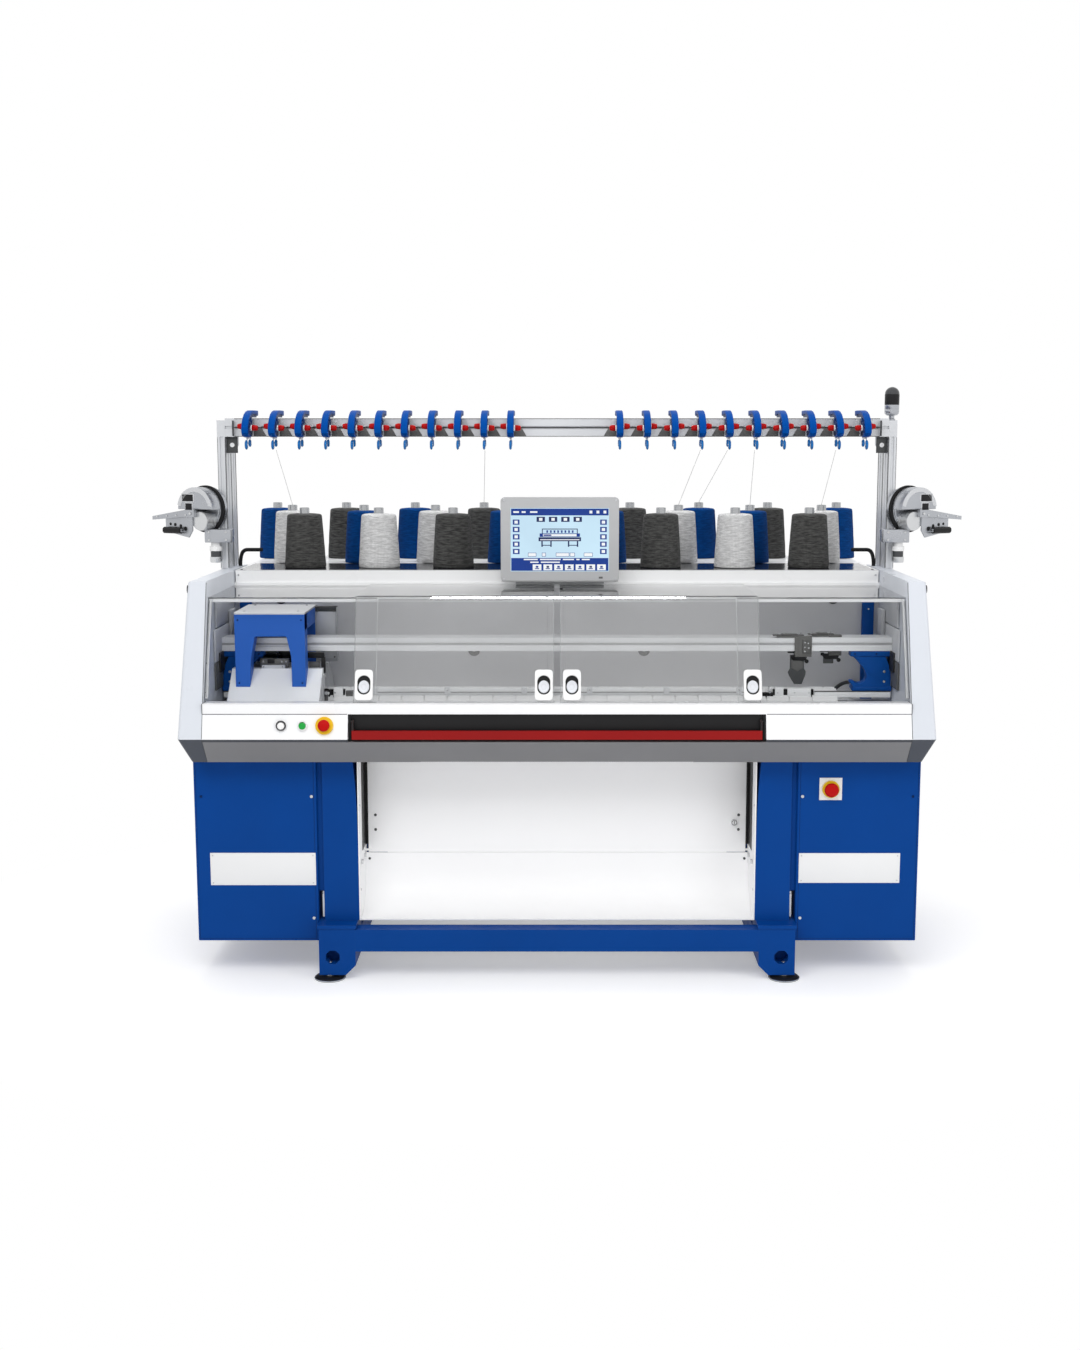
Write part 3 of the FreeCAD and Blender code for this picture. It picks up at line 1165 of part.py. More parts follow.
def build_units():
    """Yarn control units on the beam, their red tension knobs and their yarn arms with paddles."""
    half = worth("unit_thickness") / 2
    housing = unit_housing().translated(Vector(-half, 0, 0))
    radius, long, level = worth("unit_knob_radius"), worth("unit_knob_length"), worth("unit_knob_height")
    foot, arm, tip = worth("unit_arm_foot"), worth("unit_arm_radius"), worth("unit_foot")
    reach, run, paddle = worth("unit_reach"), worth("unit_arm_run"), worth("paddle_radius")
    lead = worth("unit_arm_lead")
    housings, knobs, arms = [], [], []
    for x, inward in unit_places():
        housings.append(housing.translated(Vector(x, 0, 0)))
        for y in (-reach * 0.68, -reach * 0.36):
            knobs.append(round_bar(radius, long * inward, 6, Vector(x + inward * half, y, level)))
        for y in (run / 2 - lead, -run / 2 - lead):
            half_arm = [(arm, tip), (arm, foot + paddle), (paddle, foot), (paddle / 2, foot - paddle)]
            shape = half_arm + [(-wide, z) for wide, z in half_arm[::-1]]
            arms.append(prism([Vector(x - arm, y + wide, z) for wide, z in shape], Vector(2 * arm, 0, 0)))
    keep("unit_housings", feature("unit_fins", Part.makeCompound(housings)))
    keep("unit_knobs", feature("unit_knob_set", Part.makeCompound(knobs)))
    keep("unit_arms", feature("unit_arm_set", Part.makeCompound(arms)))


def build_lamp():
    """Signal lamp: stem and base, dark band, and a domed cap."""
    radius = worth("lamp_radius")
    block, foot, band = worth("end_block_top"), worth("lamp_foot"), worth("lamp_band")
    dome, top, stem = worth("lamp_dome"), worth("lamp_top"), worth("lamp_stem_radius")
    centre = Vector(worth("mast_inner + mast_width / 2"), worth("lamp_back"), 0)
    base = faceted([(radius, foot), (radius, band)], 18).fuse(faceted([(stem, block), (stem, foot)], 10))
    ring = faceted([(radius - 2, band), (radius - 2, dome)], 18)
    shoulder = top - radius * 0.75
    cap = faceted([(radius, dome), (radius, shoulder), (radius * 0.82, top - radius * 0.3),
                   (radius * 0.45, top - radius * 0.06), (radius * 0.1, top)], 18)
    pieces = [shape.translated(centre) for shape in (base, ring, cap)]
    keep("lamp", feature("lamp_pieces", Part.makeCompound(pieces)))


# ---------------------------------------------------------------- side feed units

def feed_turn(side):
    """The placement of a side feed unit, whose own front faces -Y."""
    centre = Vector(side * worth("feed_place"), 0, worth("feed_height"))
    return Placement(centre, Rotation(Z_AXIS, side * worth("feed_turn")))


def feed_box(side, x, y, z):
    """A box of a feed unit, with X counted outward from the disc's middle."""
    low = min(side * x[0], side * x[1])
    return Part.makeBox(x[1] - x[0], y[1] - y[0], z[1] - z[0], Vector(low, y[0], z[0]))


def feed_body(side):
    """Disc with belt rim, windowed hood, drum, pivot pin, bracket and can."""
    disc, belt, hood = worth("feed_disc_radius"), worth("feed_belt_thickness"), worth("feed_hood_depth")
    ear, thick, window = worth("feed_ear_thickness"), worth("feed_lever_thickness"), worth("feed_window")
    shaft, spool, drum_long = worth("feed_shaft_radius"), worth("feed_drum_radius"), worth("feed_drum_length")
    pivot_x, pivot_z, front = worth("feed_pivot_place"), -worth("feed_pivot_drop"), -belt - hood
    rear = drum(disc - ear, worth("feed_disc_thickness"), Vector(), Y_AXIS, 16)
    rim = drum(disc, belt, Vector(0, -belt, 0), Y_AXIS)
    shell = drum(disc - ear, hood, Vector(0, front, 0), Y_AXIS, 16)
    shell = shell.common(Part.makeBox(2 * disc, hood, disc, Vector(-disc, front, 0)))
    high = feed_box(side, (window / 2, window * 2.5), (front - 1, front + window), (window, window * 2))
    low = feed_box(side, (window * 0.6, window * 1.7), (front - 1, front + window), (-1, window * 0.8))
    barrel_foot = Vector(-side * worth("feed_drum_place"), -belt - drum_long, -worth("feed_drum_drop"))
    barrel = drum(spool, drum_long, barrel_foot, Y_AXIS, 16)
    boss = drum(3 * shaft, hood, Vector(side * pivot_x, front, pivot_z), Y_AXIS, 12)
    pin = Part.makeCylinder(shaft, thick + ear, Vector(side * pivot_x, front - thick - ear, pivot_z), Y_AXIS)
    solid = rear.fuse([rim, shell.cut([high, low]), barrel, boss, pin])
    solid.Placement = feed_turn(side)
    near, far = worth("feed_bracket_inner"), worth("feed_place")
    depth, low_edge = worth("feed_bracket_depth"), worth("feed_bracket_foot")
    neck_tall = worth("feed_neck_height")
    arm = Part.makeBox(far - near, depth, worth("feed_bracket_height"),
                       Vector(min(side * near, side * far), -depth, low_edge))
    can, can_tall = worth("feed_can_radius"), worth("feed_can_height")
    can_head = Vector(side * worth("feed_can_place"), -depth / 2, low_edge - neck_tall)
    neck = drum(can - ear, neck_tall, can_head, Z_AXIS, 12)
    body = drum(can, can_tall, can_head - Z_AXIS * can_tall, Z_AXIS, 16)
    return solid.fuse([arm, neck, body]).removeSplitter()


def build_feed_units():
    """A feed unit on each mast, with a lever on its pin and a roller in the ears of the lever."""
    front = -worth("feed_belt_thickness") - worth("feed_hood_depth")
    long, tall, thick = worth("feed_lever_length"), worth("feed_lever_height"), worth("feed_lever_thickness")
    roller, roller_long = worth("feed_roller_radius"), worth("feed_roller_length")
    roller_x, drop = worth("feed_roller_place"), worth("feed_roller_drop")
    shaft, fit, ear = worth("feed_shaft_radius"), worth("pin_clearance"), worth("feed_ear_thickness")
    pivot_x, pivot_z, small = worth("feed_pivot_place"), -worth("feed_pivot_drop"), shaft / 2
    plate_y = front - ear
    far = roller_x + roller_long + ear
    solids = []
    for name, side in SIDES:
        solids += feed_body(side).Solids
        pivot = Vector(side * pivot_x, front - thick, pivot_z)
        bar_outline = ((-tall * 0.6, tall / 2), (tall, tall / 2), (long, -tall / 2), (long, -tall),
                       (tall, -tall / 2), (-tall * 0.6, -tall / 2))
        bar = prism([pivot + Vector(side * x, 0, z) for x, z in bar_outline], Vector(0, thick, 0))
        plate_outline = ((pivot_x, pivot_z), (far, pivot_z - tall * 0.6), (far, -drop - ear),
                         (tall, -drop - tall), (pivot_x, -drop))
        plate = prism([Vector(side * x, plate_y, z) for x, z in plate_outline], Vector(0, ear, 0))
        axle = Vector(side * roller_x, plate_y - roller - 1, -drop)
        ears = [feed_box(side, (x, x + ear - 1), (axle.y - roller / 2, plate_y),
                         (-drop - roller / 2, -drop + roller / 2))
                for x in (roller_x - ear, roller_x + roller_long + 1)]
        along = Vector(side, 0, 0)
        start, reach = axle - along * (ear + 1), roller_long + 2 * ear + 2
        eye = Part.makeCylinder(shaft + fit, 2 * thick, pivot - Y_AXIS * 2, Y_AXIS)
        lever = bar.fuse([plate] + ears).removeSplitter()
        lever = lever.cut([eye, Part.makeCylinder(small + fit, reach, start, along)])
        keep(f"feed_lever_{name}", feature(f"lever_{name}", lever.Solids[0], feed_turn(side)))
        wheel = drum(roller, roller_long, axle, along, 12)
        wheel = wheel.fuse(Part.makeCylinder(small, reach, start, along)).removeSplitter()
        keep(f"feed_roller_{name}", feature(f"roller_{name}", wheel.Solids[0], feed_turn(side)))
    keep("feed_units", feature("feed_unit_pair", Part.makeCompound(solids)))


# ---------------------------------------------------------------- controls

def panel_frame(x, height):
    """The placement of a control on the leaning front panel, with its own +Z pointing out."""
    lean = math.radians(worth("front_lean"))
    reach = worth("bulge_reach") - (height - worth("bulge_height")) * math.tan(lean)
    return Placement(Vector(x, -reach, height), Rotation(X_AXIS, 90 - worth("front_lean")))


def ring(outer, inner, thickness):
    return drum(outer, thickness).cut(Part.makeCylinder(inner, thickness))


def stop_head(head, stem, rise, travel):
    """A mushroom head on its stem."""
    deep = worth("stop_crown")
    crown = faceted([(head, rise - deep), (head, rise - deep / 3), (head * 0.7, rise)], 16)
    return Part.makeCylinder(stem, rise - deep - travel, Vector(0, 0, travel + 0.5)).fuse(crown)


def build_controls():
    gap, travel, height = worth("button_clearance"), worth("button_travel"), worth("button_height")
    button, rise, face = worth("button_radius"), worth("bezel_rise"), worth("button_rise")
    bezels = []
    for name in ("white", "green"):
        frame = panel_frame(worth(f"{name}_button_place"), height)
        bezel = ring(worth("bezel_radius"), button + gap, rise)
        bezel.Placement = frame
        bezels.append(bezel)
        cap = Part.makeCylinder(button, face - travel - 0.5, Vector(0, 0, travel + 0.5))
        keep(f"button_{name}", feature(f"cap_{name}", cap, frame))
    stem, rise = worth("stop_stem_radius"), worth("stop_rise")
    plate, plate_thick = worth("switch_plate"), worth("switch_plate_thickness")
    front = Vector(worth("switch_place"), -worth("leg_reach"), worth("switch_height"))
    upright_frame = Placement(front, Rotation(X_AXIS, 90))
    backing = Part.makeBox(plate, plate, plate_thick, Vector(-plate / 2, -plate / 2, 0))
    backing.Placement = upright_frame
    raised = Placement(front + Vector(0, -plate_thick, 0), Rotation(X_AXIS, 90))
    for name, frame, head in (("panel", panel_frame(worth("stop_button_place"), height),
                               worth("stop_head_radius")), ("cabinet", raised, worth("switch_head_radius"))):
        collar = ring(worth("stop_ring_radius"), stem + gap, worth("bezel_rise"))
        collar.Placement = frame
        bezels.append(collar)
        mushroom = stop_head(head, stem, rise, travel)
        keep(f"estop_{name}", feature(f"stop_{name}", mushroom, frame))
    keep("button_bezels", feature("control_rings", Part.makeCompound(bezels + [backing])))


def build_start_bar():
    """The red bar with two arms that reach up to pivot pins in the ends of its recess."""
    half = "(channel_half_width - channel_sheet - bar_end_gap)"
    bar = slab("start_bar_flat", across(half), ("-bar_reach", "bar_thickness - bar_reach"),
               ("bar_foot", "bar_head"))
    pieces = [bar]
    for name, side in SIDES:
        x = sided(side, f"{half} - bar_arm", half)
        pieces.append(slab(f"bar_arm_{name}", x, ("2 - bar_reach", "-bar_pivot_reach + bar_arm"),
                           ("bar_foot", "bar_pivot_height")))
        boss_at = Vector(side * worth(f"{half} - bar_arm"), -worth("bar_pivot_reach"),
                         worth("bar_pivot_height"))
        boss = drum(worth("bar_arm"), worth("bar_arm"), boss_at, X_AXIS * side, 12)
        pieces.append(feature(f"bar_boss_{name}", boss))
        pieces.append(rod(f"bar_pin_{name}", "bar_pivot_radius", "bar_end_gap + channel_sheet + bar_arm - 1",
                          Vector(side, 0, 0), f"{side} * ({half} - bar_arm)", "-bar_pivot_reach",
                          "bar_pivot_height"))
    keep("start_bar", fuse("start_bar_solid", *pieces))


# ---------------------------------------------------------------- take-down

def build_flap():
    """The white flap under the beds, hinged at its foot, and its quarter-turn latch."""
    plate = slab("flap_plate", across("flap_half_width"), ("-flap_reach", "flap_thickness - flap_reach"),
                 ("flap_foot", "flap_head"))
    pins = [rod(f"flap_pin_{name}", "flap_pin_radius", "leg_inner - flap_half_width - 0.5 + 10",
                Vector(side, 0, 0), f"{side} * (flap_half_width - 10)", "-flap_pin_reach", "flap_pin_height")
            for name, side in SIDES]
    bore = rod("flap_latch_bore", "latch_shaft_radius + pin_clearance", "flap_thickness + 2", Y_AXIS,
               "latch_place", "-flap_reach - 1", "latch_height")
    keep("flap", cut("flap_solid", fuse("flap_pinned", plate, *pins), bore))
    knob_at = Vector(worth("latch_place"), -worth("flap_reach + latch_reach"), worth("latch_height"))
    knob_shape = drum(worth("latch_radius"), worth("latch_reach - latch_play"), knob_at, Y_AXIS)
    knob = feature("latch_knob", knob_shape)
    shaft = rod("latch_shaft", "latch_shaft_radius", "latch_reach + 2 * flap_thickness", Y_AXIS,
                "latch_place", "-flap_reach - latch_reach", "latch_height")
    cam = slab("latch_cam", ("latch_place - latch_cam_width / 2", "latch_place + latch_cam_width / 2"),
               ("flap_thickness - flap_reach + latch_play",
                "flap_thickness - flap_reach + latch_shaft_radius"),
               ("latch_height - latch_cam_width / 2", "latch_height + latch_cam_length"))
    keep("flap_latch", fuse("latch", knob, shaft, cam))


def build_lower_panels():
    """White cheeks beside the flap, the curved tray under it and the plates that hold the rollers."""
    pieces = []
    for name, side in SIDES:
        cheek = slab(f"cheek_{name}", sided(side, "leg_inner - cheek_thickness", "leg_inner"),
                     ("-leg_reach", "-throat_reach"), ("flange_top", "body_floor"))
        hole = rod(f"cheek_hole_{name}", "flap_pin_radius + pin_clearance", "cheek_thickness + 2",
                   Vector(side, 0, 0), f"{side} * (leg_inner - cheek_thickness - 1)", "-flap_pin_reach",
                   "flap_pin_height")
        pieces.append(cut(f"cheek_panel_{name}", cheek, hole))
        plate = slab(f"roller_plate_{name}",
                     sided(side, "leg_inner - roller_plate_thickness", "leg_inner"),
                     ("-throat_reach", "-throat_reach + 4 * roller_radius + 60"),
                     ("roller_plate_foot", "body_floor"))
        bores = [rod(f"roller_bore_{name}_{number}", "roller_journal_radius + pin_clearance",
                     "roller_plate_thickness + 2", Vector(side, 0, 0),
                     f"{side} * (leg_inner - roller_plate_thickness - 1)", roller_place(number),
                     "roller_height") for number in (0, 1)]
        pieces.append(cut(f"roller_bearing_{name}", plate, *bores))
    half, thick = worth("leg_inner - cheek_thickness"), worth("tray_thickness")
    back, bend = -worth("flap_reach"), worth("tray_bend_radius")
    top, start = worth("flap_foot") - 2, worth("tray_bend_height")
    floor, lip = worth("flange_top"), -worth("foot_reach - beam_depth")
    c, s = math.cos(math.radians(45)), math.sin(math.radians(45))
    centre = Vector(-half, back - bend, start)
    points = [Vector(-half, back, top), Vector(-half, back, start),
              (centre + Vector(0, bend * c, -bend * s), centre + Vector(0, 0, -bend)),
              Vector(-half, lip, floor + thick), Vector(-half, lip, floor),
              Vector(-half, centre.y, start - bend - thick)]
    points.append((centre + Vector(0, (bend + thick) * c, -(bend + thick) * s),
                   Vector(-half, back + thick, start)))
    points.append(Vector(-half, back + thick, top))
    pieces.append(feature("tray", prism(points, Vector(2 * half, 0, 0))))
    keep("lower_panels", group("lower_panel_pieces", *pieces))


def roller_place(number):
    return ("-throat_reach + roller_radius + 8" if number == 0
            else "-throat_reach + 3 * roller_radius + 8 + roller_nip")


def build_rollers():
    """The two take-down rollers, geared one to one, with journals in their plates."""
    length = "2 * (leg_inner - roller_plate_thickness - 4)"
    for number, name in enumerate(("front", "back")):
        y = roller_place(number)
        start = Vector(-worth(length) / 2, worth(y), worth("roller_height"))
        barrel_shape = drum(worth("roller_radius"), worth(length), start, X_AXIS, 20)
        barrel = feature(f"takedown_drum_{name}", barrel_shape)
        shaft = rod(f"takedown_shaft_{name}", "roller_journal_radius", "2 * leg_inner - 1", X_AXIS,
                    "0.5 - leg_inner", y, "roller_height")
        keep(f"takedown_roller_{name}", fuse(f"takedown_{name}", barrel, shaft))


# ---------------------------------------------------------------- rails, carriage and feeders

def build_rails():
    rails = []
    for number in (-1, 0, 1):
        y = f"{number} * track_pitch - throat_reach"
        bar = slab(f"track_bar_{number + 2}", across("cover_inner"),
                   (f"{y} - track_thickness / 2", f"{y} + track_thickness / 2"), ("track_foot", "track_head"))
        grooves = [slab(f"track_groove_{number + 2}_{name}", across("cover_inner + 1"),
                        (f"{y} + {side} * track_thickness / 2 - track_groove",
                         f"{y} + {side} * track_thickness / 2 + track_groove"),
                        ("(track_foot + track_head - track_groove_height) / 2",
                         "(track_foot + track_head + track_groove_height) / 2"))
                   for name, side in SIDES]
        rails.append(cut(f"track_{number + 2}", bar, *grooves))
    keep("rails", group("rail_set", *rails))


def build_rail_brackets():
    """Blue C brackets under the rail ends and blue posts on the rear wall."""
    inner, outer = worth("bracket_inner"), worth("bracket_outer")
    low, high = worth("crest_height"), worth("track_foot")
    bar, foot = high - worth("bracket_bar"), low + worth("bracket_foot_height")
    web, draw = outer - worth("bracket_web"), worth("bracket_draw")
    half = worth("bracket_half_depth")
    y = -worth("throat_reach") - half
    pieces = []
    for name, side in SIDES:
        def at(x, z):
            return Vector(side * x, y, z)
        points = [at(inner, low), at(outer, low), at(outer, (low + high) / 2), at(outer - draw, bar),
                  at(outer, bar), at(outer, high), at(inner, high), at(inner, bar),
                  (at(web, (bar + foot) / 2), at(inner, foot))]
        pieces.append(feature(f"rail_bracket_{name}", prism(points, Vector(0, 2 * half, 0))))
        pieces.append(slab(f"blue_post_{name}", sided(side, "post_place - post_width / 2",
                                                      "post_place + post_width / 2"),
                           ("-wall_reach - post_thickness", "-wall_reach"),
                           ("bed_valley_height", "wall_fitting_top")))
    keep("rail_brackets", group("rail_bracket_pieces", *pieces))


def build_carriage():
    """The bow over the rails, the two cam boxes under it and the drive box beside it."""
    left, right = "bow_left", "bow_left + bow_length"
    slope = "(cam_head - cam_front_height) / (cam_half_depth - cam_head_half)"
    outer = "throat_reach + bow_half_depth"
    inner = f"({outer} - bow_wall)"
    foot_outer = f"cam_head - (bow_half_depth - cam_head_half) * {slope}"
    foot_inner = f"cam_head - (bow_half_depth - bow_wall - cam_head_half) * {slope}"
    roof = "(bow_top - bow_roof)"
    front = [(f"-({outer})", foot_outer), (f"-{inner}", foot_inner), (f"-{inner}", roof)]
    rear = mirrored_y(front)
    points = [(f"-({outer})", "bow_top")] + front + rear[::-1] + mirrored_y([(f"-({outer})", "bow_top")])
    bow = side_profile("bow_block", points, (left, right))
    arch_points = [("bow_left + arch_margin - arch_draw", "cam_front_height"),
                   ("bow_left + bow_length - arch_margin + arch_draw", "cam_front_height"),
                   ("bow_left + bow_length - arch_margin", "arch_height"),
                   ("bow_left + arch_margin", "arch_height")]
    arch = front_profile("bow_arch", arch_points, (f"-({outer}) - 1", f"-2 * throat_reach + {outer} + 1"))
    doc.recompute()
    level = worth("arch_height")
    arch_round = round_edges("bow_arch_round", arch, "arch_round", lambda edge: all(
        abs(v.Z - level) < 0.01 for v in edge.Vertexes) and
        abs(edge.Vertexes[0].Y - edge.Vertexes[-1].Y) > 1)
    keep("carriage_bow", cut("bow", bow, arch_round))
    lift = "cam_clearance / cos(bed_slope)"
    near, far = "(throat_reach + cam_half_gap)", "(throat_reach + cam_half_depth)"
    run = f"({near} - throat_reach - bed_crown_half)"
    cam = [(f"-{near}", f"bed_crown + {lift} - {run} * tan(bed_slope)"),
           (f"-{near}", "cam_head"),
           ("-throat_reach - cam_head_half", "cam_head"),
           (f"-{far}", "cam_front_height"),
           (f"-{far}", f"bed_crown + {lift} - (cam_half_depth - bed_crown_half) * tan(bed_slope)")]
    ends = ("carriage_left", f"{right} + drive_box_lap")
    boxes = [side_profile("front_cam_box", cam, ends), side_profile("rear_cam_box", mirrored_y(cam), ends)]
    drive = slab("drive_box", (right, f"{right} + drive_box_length"),
                 (f"-2 * throat_reach + {inner}", f"-2 * throat_reach + {outer}"), ("cam_head", "bow_top"))
    top = slab("bow_plate", (left, right), (f"-({outer})", f"-2 * throat_reach + {outer}"),
               ("bow_top", "bow_plate_top"))
    keep("carriage_covers", group("carriage_cover_pieces", *boxes, drive, top))


def yarn_feeder(name, lane, place):
    """A block that runs on its rail, with a plate above and a nose down to the throat."""
    y = f"{lane} * track_pitch - throat_reach"
    wide = (f"{y} - feeder_half_width", f"{y} + feeder_half_width")
    block = slab(name + "_block", (f"{place} - feeder_half_length", f"{place} + feeder_half_length"), wide,
                 ("track_foot - feeder_shell", "track_head + feeder_crown"))
    plate = slab(name + "_plate", (f"{place} - 3 * feeder_half_length", f"{place} + feeder_half_length"),
                 wide, ("track_head + feeder_crown", "track_head + feeder_crown + feeder_plate"))
    right = [("feeder_tip_half", "feeder_nose_height"), ("feeder_nose_half", "feeder_nose_top"),
             ("feeder_nose_half", "track_foot - feeder_shell")]
    nose_points = [(f"{place} + {half}", z) for half, z in right]
    nose_points += [(f"{place} - {half}", z) for half, z in right[::-1]]
    nose = front_profile(name + "_nose", nose_points,
                         (f"{y} - feeder_nose_thickness / 2", f"{y} + feeder_nose_thickness / 2"))
    slot = slab(name + "_slot", (f"{place} - feeder_half_length - 1", f"{place} + feeder_half_length + 1"),
                (f"{y} - track_thickness / 2 - feeder_clearance",
                 f"{y} + track_thickness / 2 + feeder_clearance"),
                ("track_foot - feeder_clearance", "track_head + feeder_clearance"))
    keep(name, cut(name + "_solid", fuse(name + "_body", block, plate, nose), slot))


def build_feeders():
    yarn_feeder("feeder_1", -1, "feeder_one")
    yarn_feeder("feeder_2", 0, "feeder_two")
    yarn_feeder("feeder_3", 1, "feeder_three")


# ---------------------------------------------------------------- hoses and yarns

def build_hoses():
    """Black hoses that come up out of the end covers and lie over onto the shelf."""
    radius, bend = worth("hose_radius"), worth("hose_bend")
    hoses = []
    for name, side in SIDES:
        foot = Vector(side * worth("cover_inner + hose_inset"), worth("hose_back"), worth("hood_height"))
        run = Vector(-side, 0, 0)
        middle = foot + Z_AXIS * worth("hose_rise") + run * bend
        spine = [(foot, 0)]
        for lean in (15, 45, 75):
            angle = math.radians(lean)
            spine.append((middle - run * (bend * math.cos(angle)) + Z_AXIS * (bend * math.sin(angle)), lean))
        spine.append((middle + Z_AXIS * bend + run * worth("hose_lie"), 90))
        wires = []
        for centre, lean in spine:
            tilt = Rotation(Y_AXIS, -side * lean)
            corners = [centre + tilt.multVec(point) for point in around(Vector(), radius, 8)]
            wires.append(Part.makePolygon(corners + corners[:1]))
        hoses.append(Part.makeLoft(wires, True, True))
    keep("hoses", feature("hose_pair", Part.makeCompound(hoses)))


def threaded_cones():
    """The cones that carry a thread: two on the left, the middle row and one more on the right."""
    cones = cone_places()
    half = len(cones) // 2
    row = half // 3
    left, right = cones[:half], cones[half:]
    return left[2 * row - 1:2 * row + 1] + right[row + 1:2 * row] + right[2 * row + 1:2 * row + 2]


def build_yarns():
    """Taut threads from a few cones on the shelf up to the control unit nearest above each."""
    radius = worth("yarn_radius")
    top = worth("shelf_height + cone_height + cone_core_rise")
    level, front_arm = worth("unit_arm_foot - paddle_radius"), worth("unit_arm_run / 2 - unit_arm_lead")
    units = [x for x, inward in unit_places()]
    threads = []
    for x, y, colour in threaded_cones():
        above = min(units, key=lambda place: abs(place - x))
        start = Vector(x, y, top)
        end = Vector(above, front_arm, level)
        threads.append(prism(around(start, radius, 6), end - start))
    keep("yarns", feature("yarn_threads", Part.makeCompound(threads)))


def check_and_write():
    doc.recompute()
    for thing in doc.Objects:
        if "Invalid" in thing.State or "Error" in thing.State:
            raise RuntimeError(f"{thing.Name} failed: {thing.State}")
    for name, piece in nodes.items():
        if piece.Shape.isNull() or not piece.Shape.isValid() or not piece.Shape.Solids:
            raise RuntimeError(f"{name} has no valid shape")
    os.makedirs("parts", exist_ok=True)
    for name, piece in nodes.items():
        piece.Shape.exportStep(f"parts/{name}.step")
    print(len(nodes), "nodes written")


build_stand()
build_feet()
build_bed_base()
build_needle_beds()
build_end_covers()
build_end_knobs()
build_front_panels()
build_black_trim()
build_apron()
build_rear_wall()
build_cabinets()
build_covers()
build_handles()
build_shelf()
build_cones()
build_monitor()
build_yarn_frame()
build_units()
build_lamp()
build_feed_units()
build_controls()
build_start_bar()
build_flap()
build_lower_panels()
build_rollers()
build_rails()
build_rail_brackets()
build_carriage()
build_feeders()
build_hoses()
build_yarns()
check_and_write()
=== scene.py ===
import math
import random
from itertools import product

import bmesh
import bpy
from mathutils import Matrix, Vector


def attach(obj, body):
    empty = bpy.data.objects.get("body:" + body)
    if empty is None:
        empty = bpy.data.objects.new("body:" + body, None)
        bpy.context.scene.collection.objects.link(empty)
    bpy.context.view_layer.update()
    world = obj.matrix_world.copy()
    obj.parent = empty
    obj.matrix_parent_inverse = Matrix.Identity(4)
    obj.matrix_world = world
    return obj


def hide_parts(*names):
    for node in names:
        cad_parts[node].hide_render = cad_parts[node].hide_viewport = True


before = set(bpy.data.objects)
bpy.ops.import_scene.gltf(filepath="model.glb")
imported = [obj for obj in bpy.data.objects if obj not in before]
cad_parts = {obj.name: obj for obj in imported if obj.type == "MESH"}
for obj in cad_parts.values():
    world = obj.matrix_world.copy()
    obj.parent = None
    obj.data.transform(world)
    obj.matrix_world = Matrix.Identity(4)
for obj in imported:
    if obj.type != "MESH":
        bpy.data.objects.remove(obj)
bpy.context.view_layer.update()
random.seed(7)


# ---------------------------------------------------------------- materials

def put(node, inputs):
    """Fills a node's inputs: the output of another node is linked, anything else is the input's own value."""
    for key, value in inputs.items():
        if isinstance(value, bpy.types.NodeSocket):
            node.id_data.links.new(value, node.inputs[key])
        else:
            node.inputs[key].default_value = value


def add(tree, kind, inputs=(), **fields):
    """A new shader node with its fields set and its inputs filled."""
    node = tree.nodes.new("ShaderNode" + kind)
    for field, value in fields.items():
        setattr(node, field, value)
    put(node, dict(inputs))
    return node


def shader(name):
    """A new node material with its principled shader and object coordinates."""
    material = bpy.data.materials.new(name)
    material.use_nodes = True
    tree = material.node_tree
    return material, tree, tree.nodes["Principled BSDF"], add(tree, "TexCoord").outputs["Object"]


def noise(tree, vector, scale, detail=3.0, stretch=None):
    """Noise over the surface, drawn out along an axis where stretch says so."""
    if stretch:
        vector = add(tree, "Mapping", {"Scale": stretch, "Vector": vector}).outputs["Vector"]
    return add(tree, "TexNoise", {"Scale": scale, "Detail": detail, "Vector": vector}).outputs["Fac"]


def spread(tree, value, low, high, start=0.3, end=0.7):
    """A value between start and end spread from low to high."""
    return add(tree, "MapRange", {"From Min": start, "From Max": end, "To Min": low, "To Max": high,
                                  "Value": value}).outputs["Result"]


def calculate(tree, operation, first, second):
    """The result of a sum, a product or a test of two values."""
    return add(tree, "Math", {0: first, 1: second}, operation=operation).outputs[0]


def blend_colors(tree, factor, *colors):
    """A mix of two colours, each of them numbers or the output of a node."""
    first, second = (c if isinstance(c, bpy.types.NodeSocket) else (*c, 1) for c in colors)
    return add(tree, "Mix", {"Factor": factor, 6: first, 7: second}, data_type="RGBA").outputs[2]


def clouded(tree, vector, scale, detail, color, vary):
    """A colour that is a little darker or lighter from place to place."""
    cloud = spread(tree, noise(tree, vector, scale, detail), 0.0, 1.0)
    darker, lighter = ([min(1.0, c * share) for c in color] for share in (1 - vary, 1 + vary))
    return blend_colors(tree, cloud, darker, lighter)


def zone_mask(tree, vector, low, high):
    """1 inside a box of the object's own space and 0 outside it. None leaves a side open."""
    place = add(tree, "SeparateXYZ", {0: vector}).outputs
    inside = [calculate(tree, operation, place[axis], limits[axis])
              for axis in range(3) for limits, operation in ((low, "GREATER_THAN"), (high, "LESS_THAN"))
              if limits[axis] is not None]
    while len(inside) > 1:
        inside[:2] = [calculate(tree, "MULTIPLY", *inside[:2])]
    return inside[0]


def above(height, color):
    return (None, None, height), (None, None, None), color


def below(height, color):
    return (None, None, None), (None, None, height), color


def soft_normal(tree, edge):
    """The surface's normal with its edges rounded off."""
    return add(tree, "Bevel", {"Radius": edge}, samples=4).outputs["Normal"]


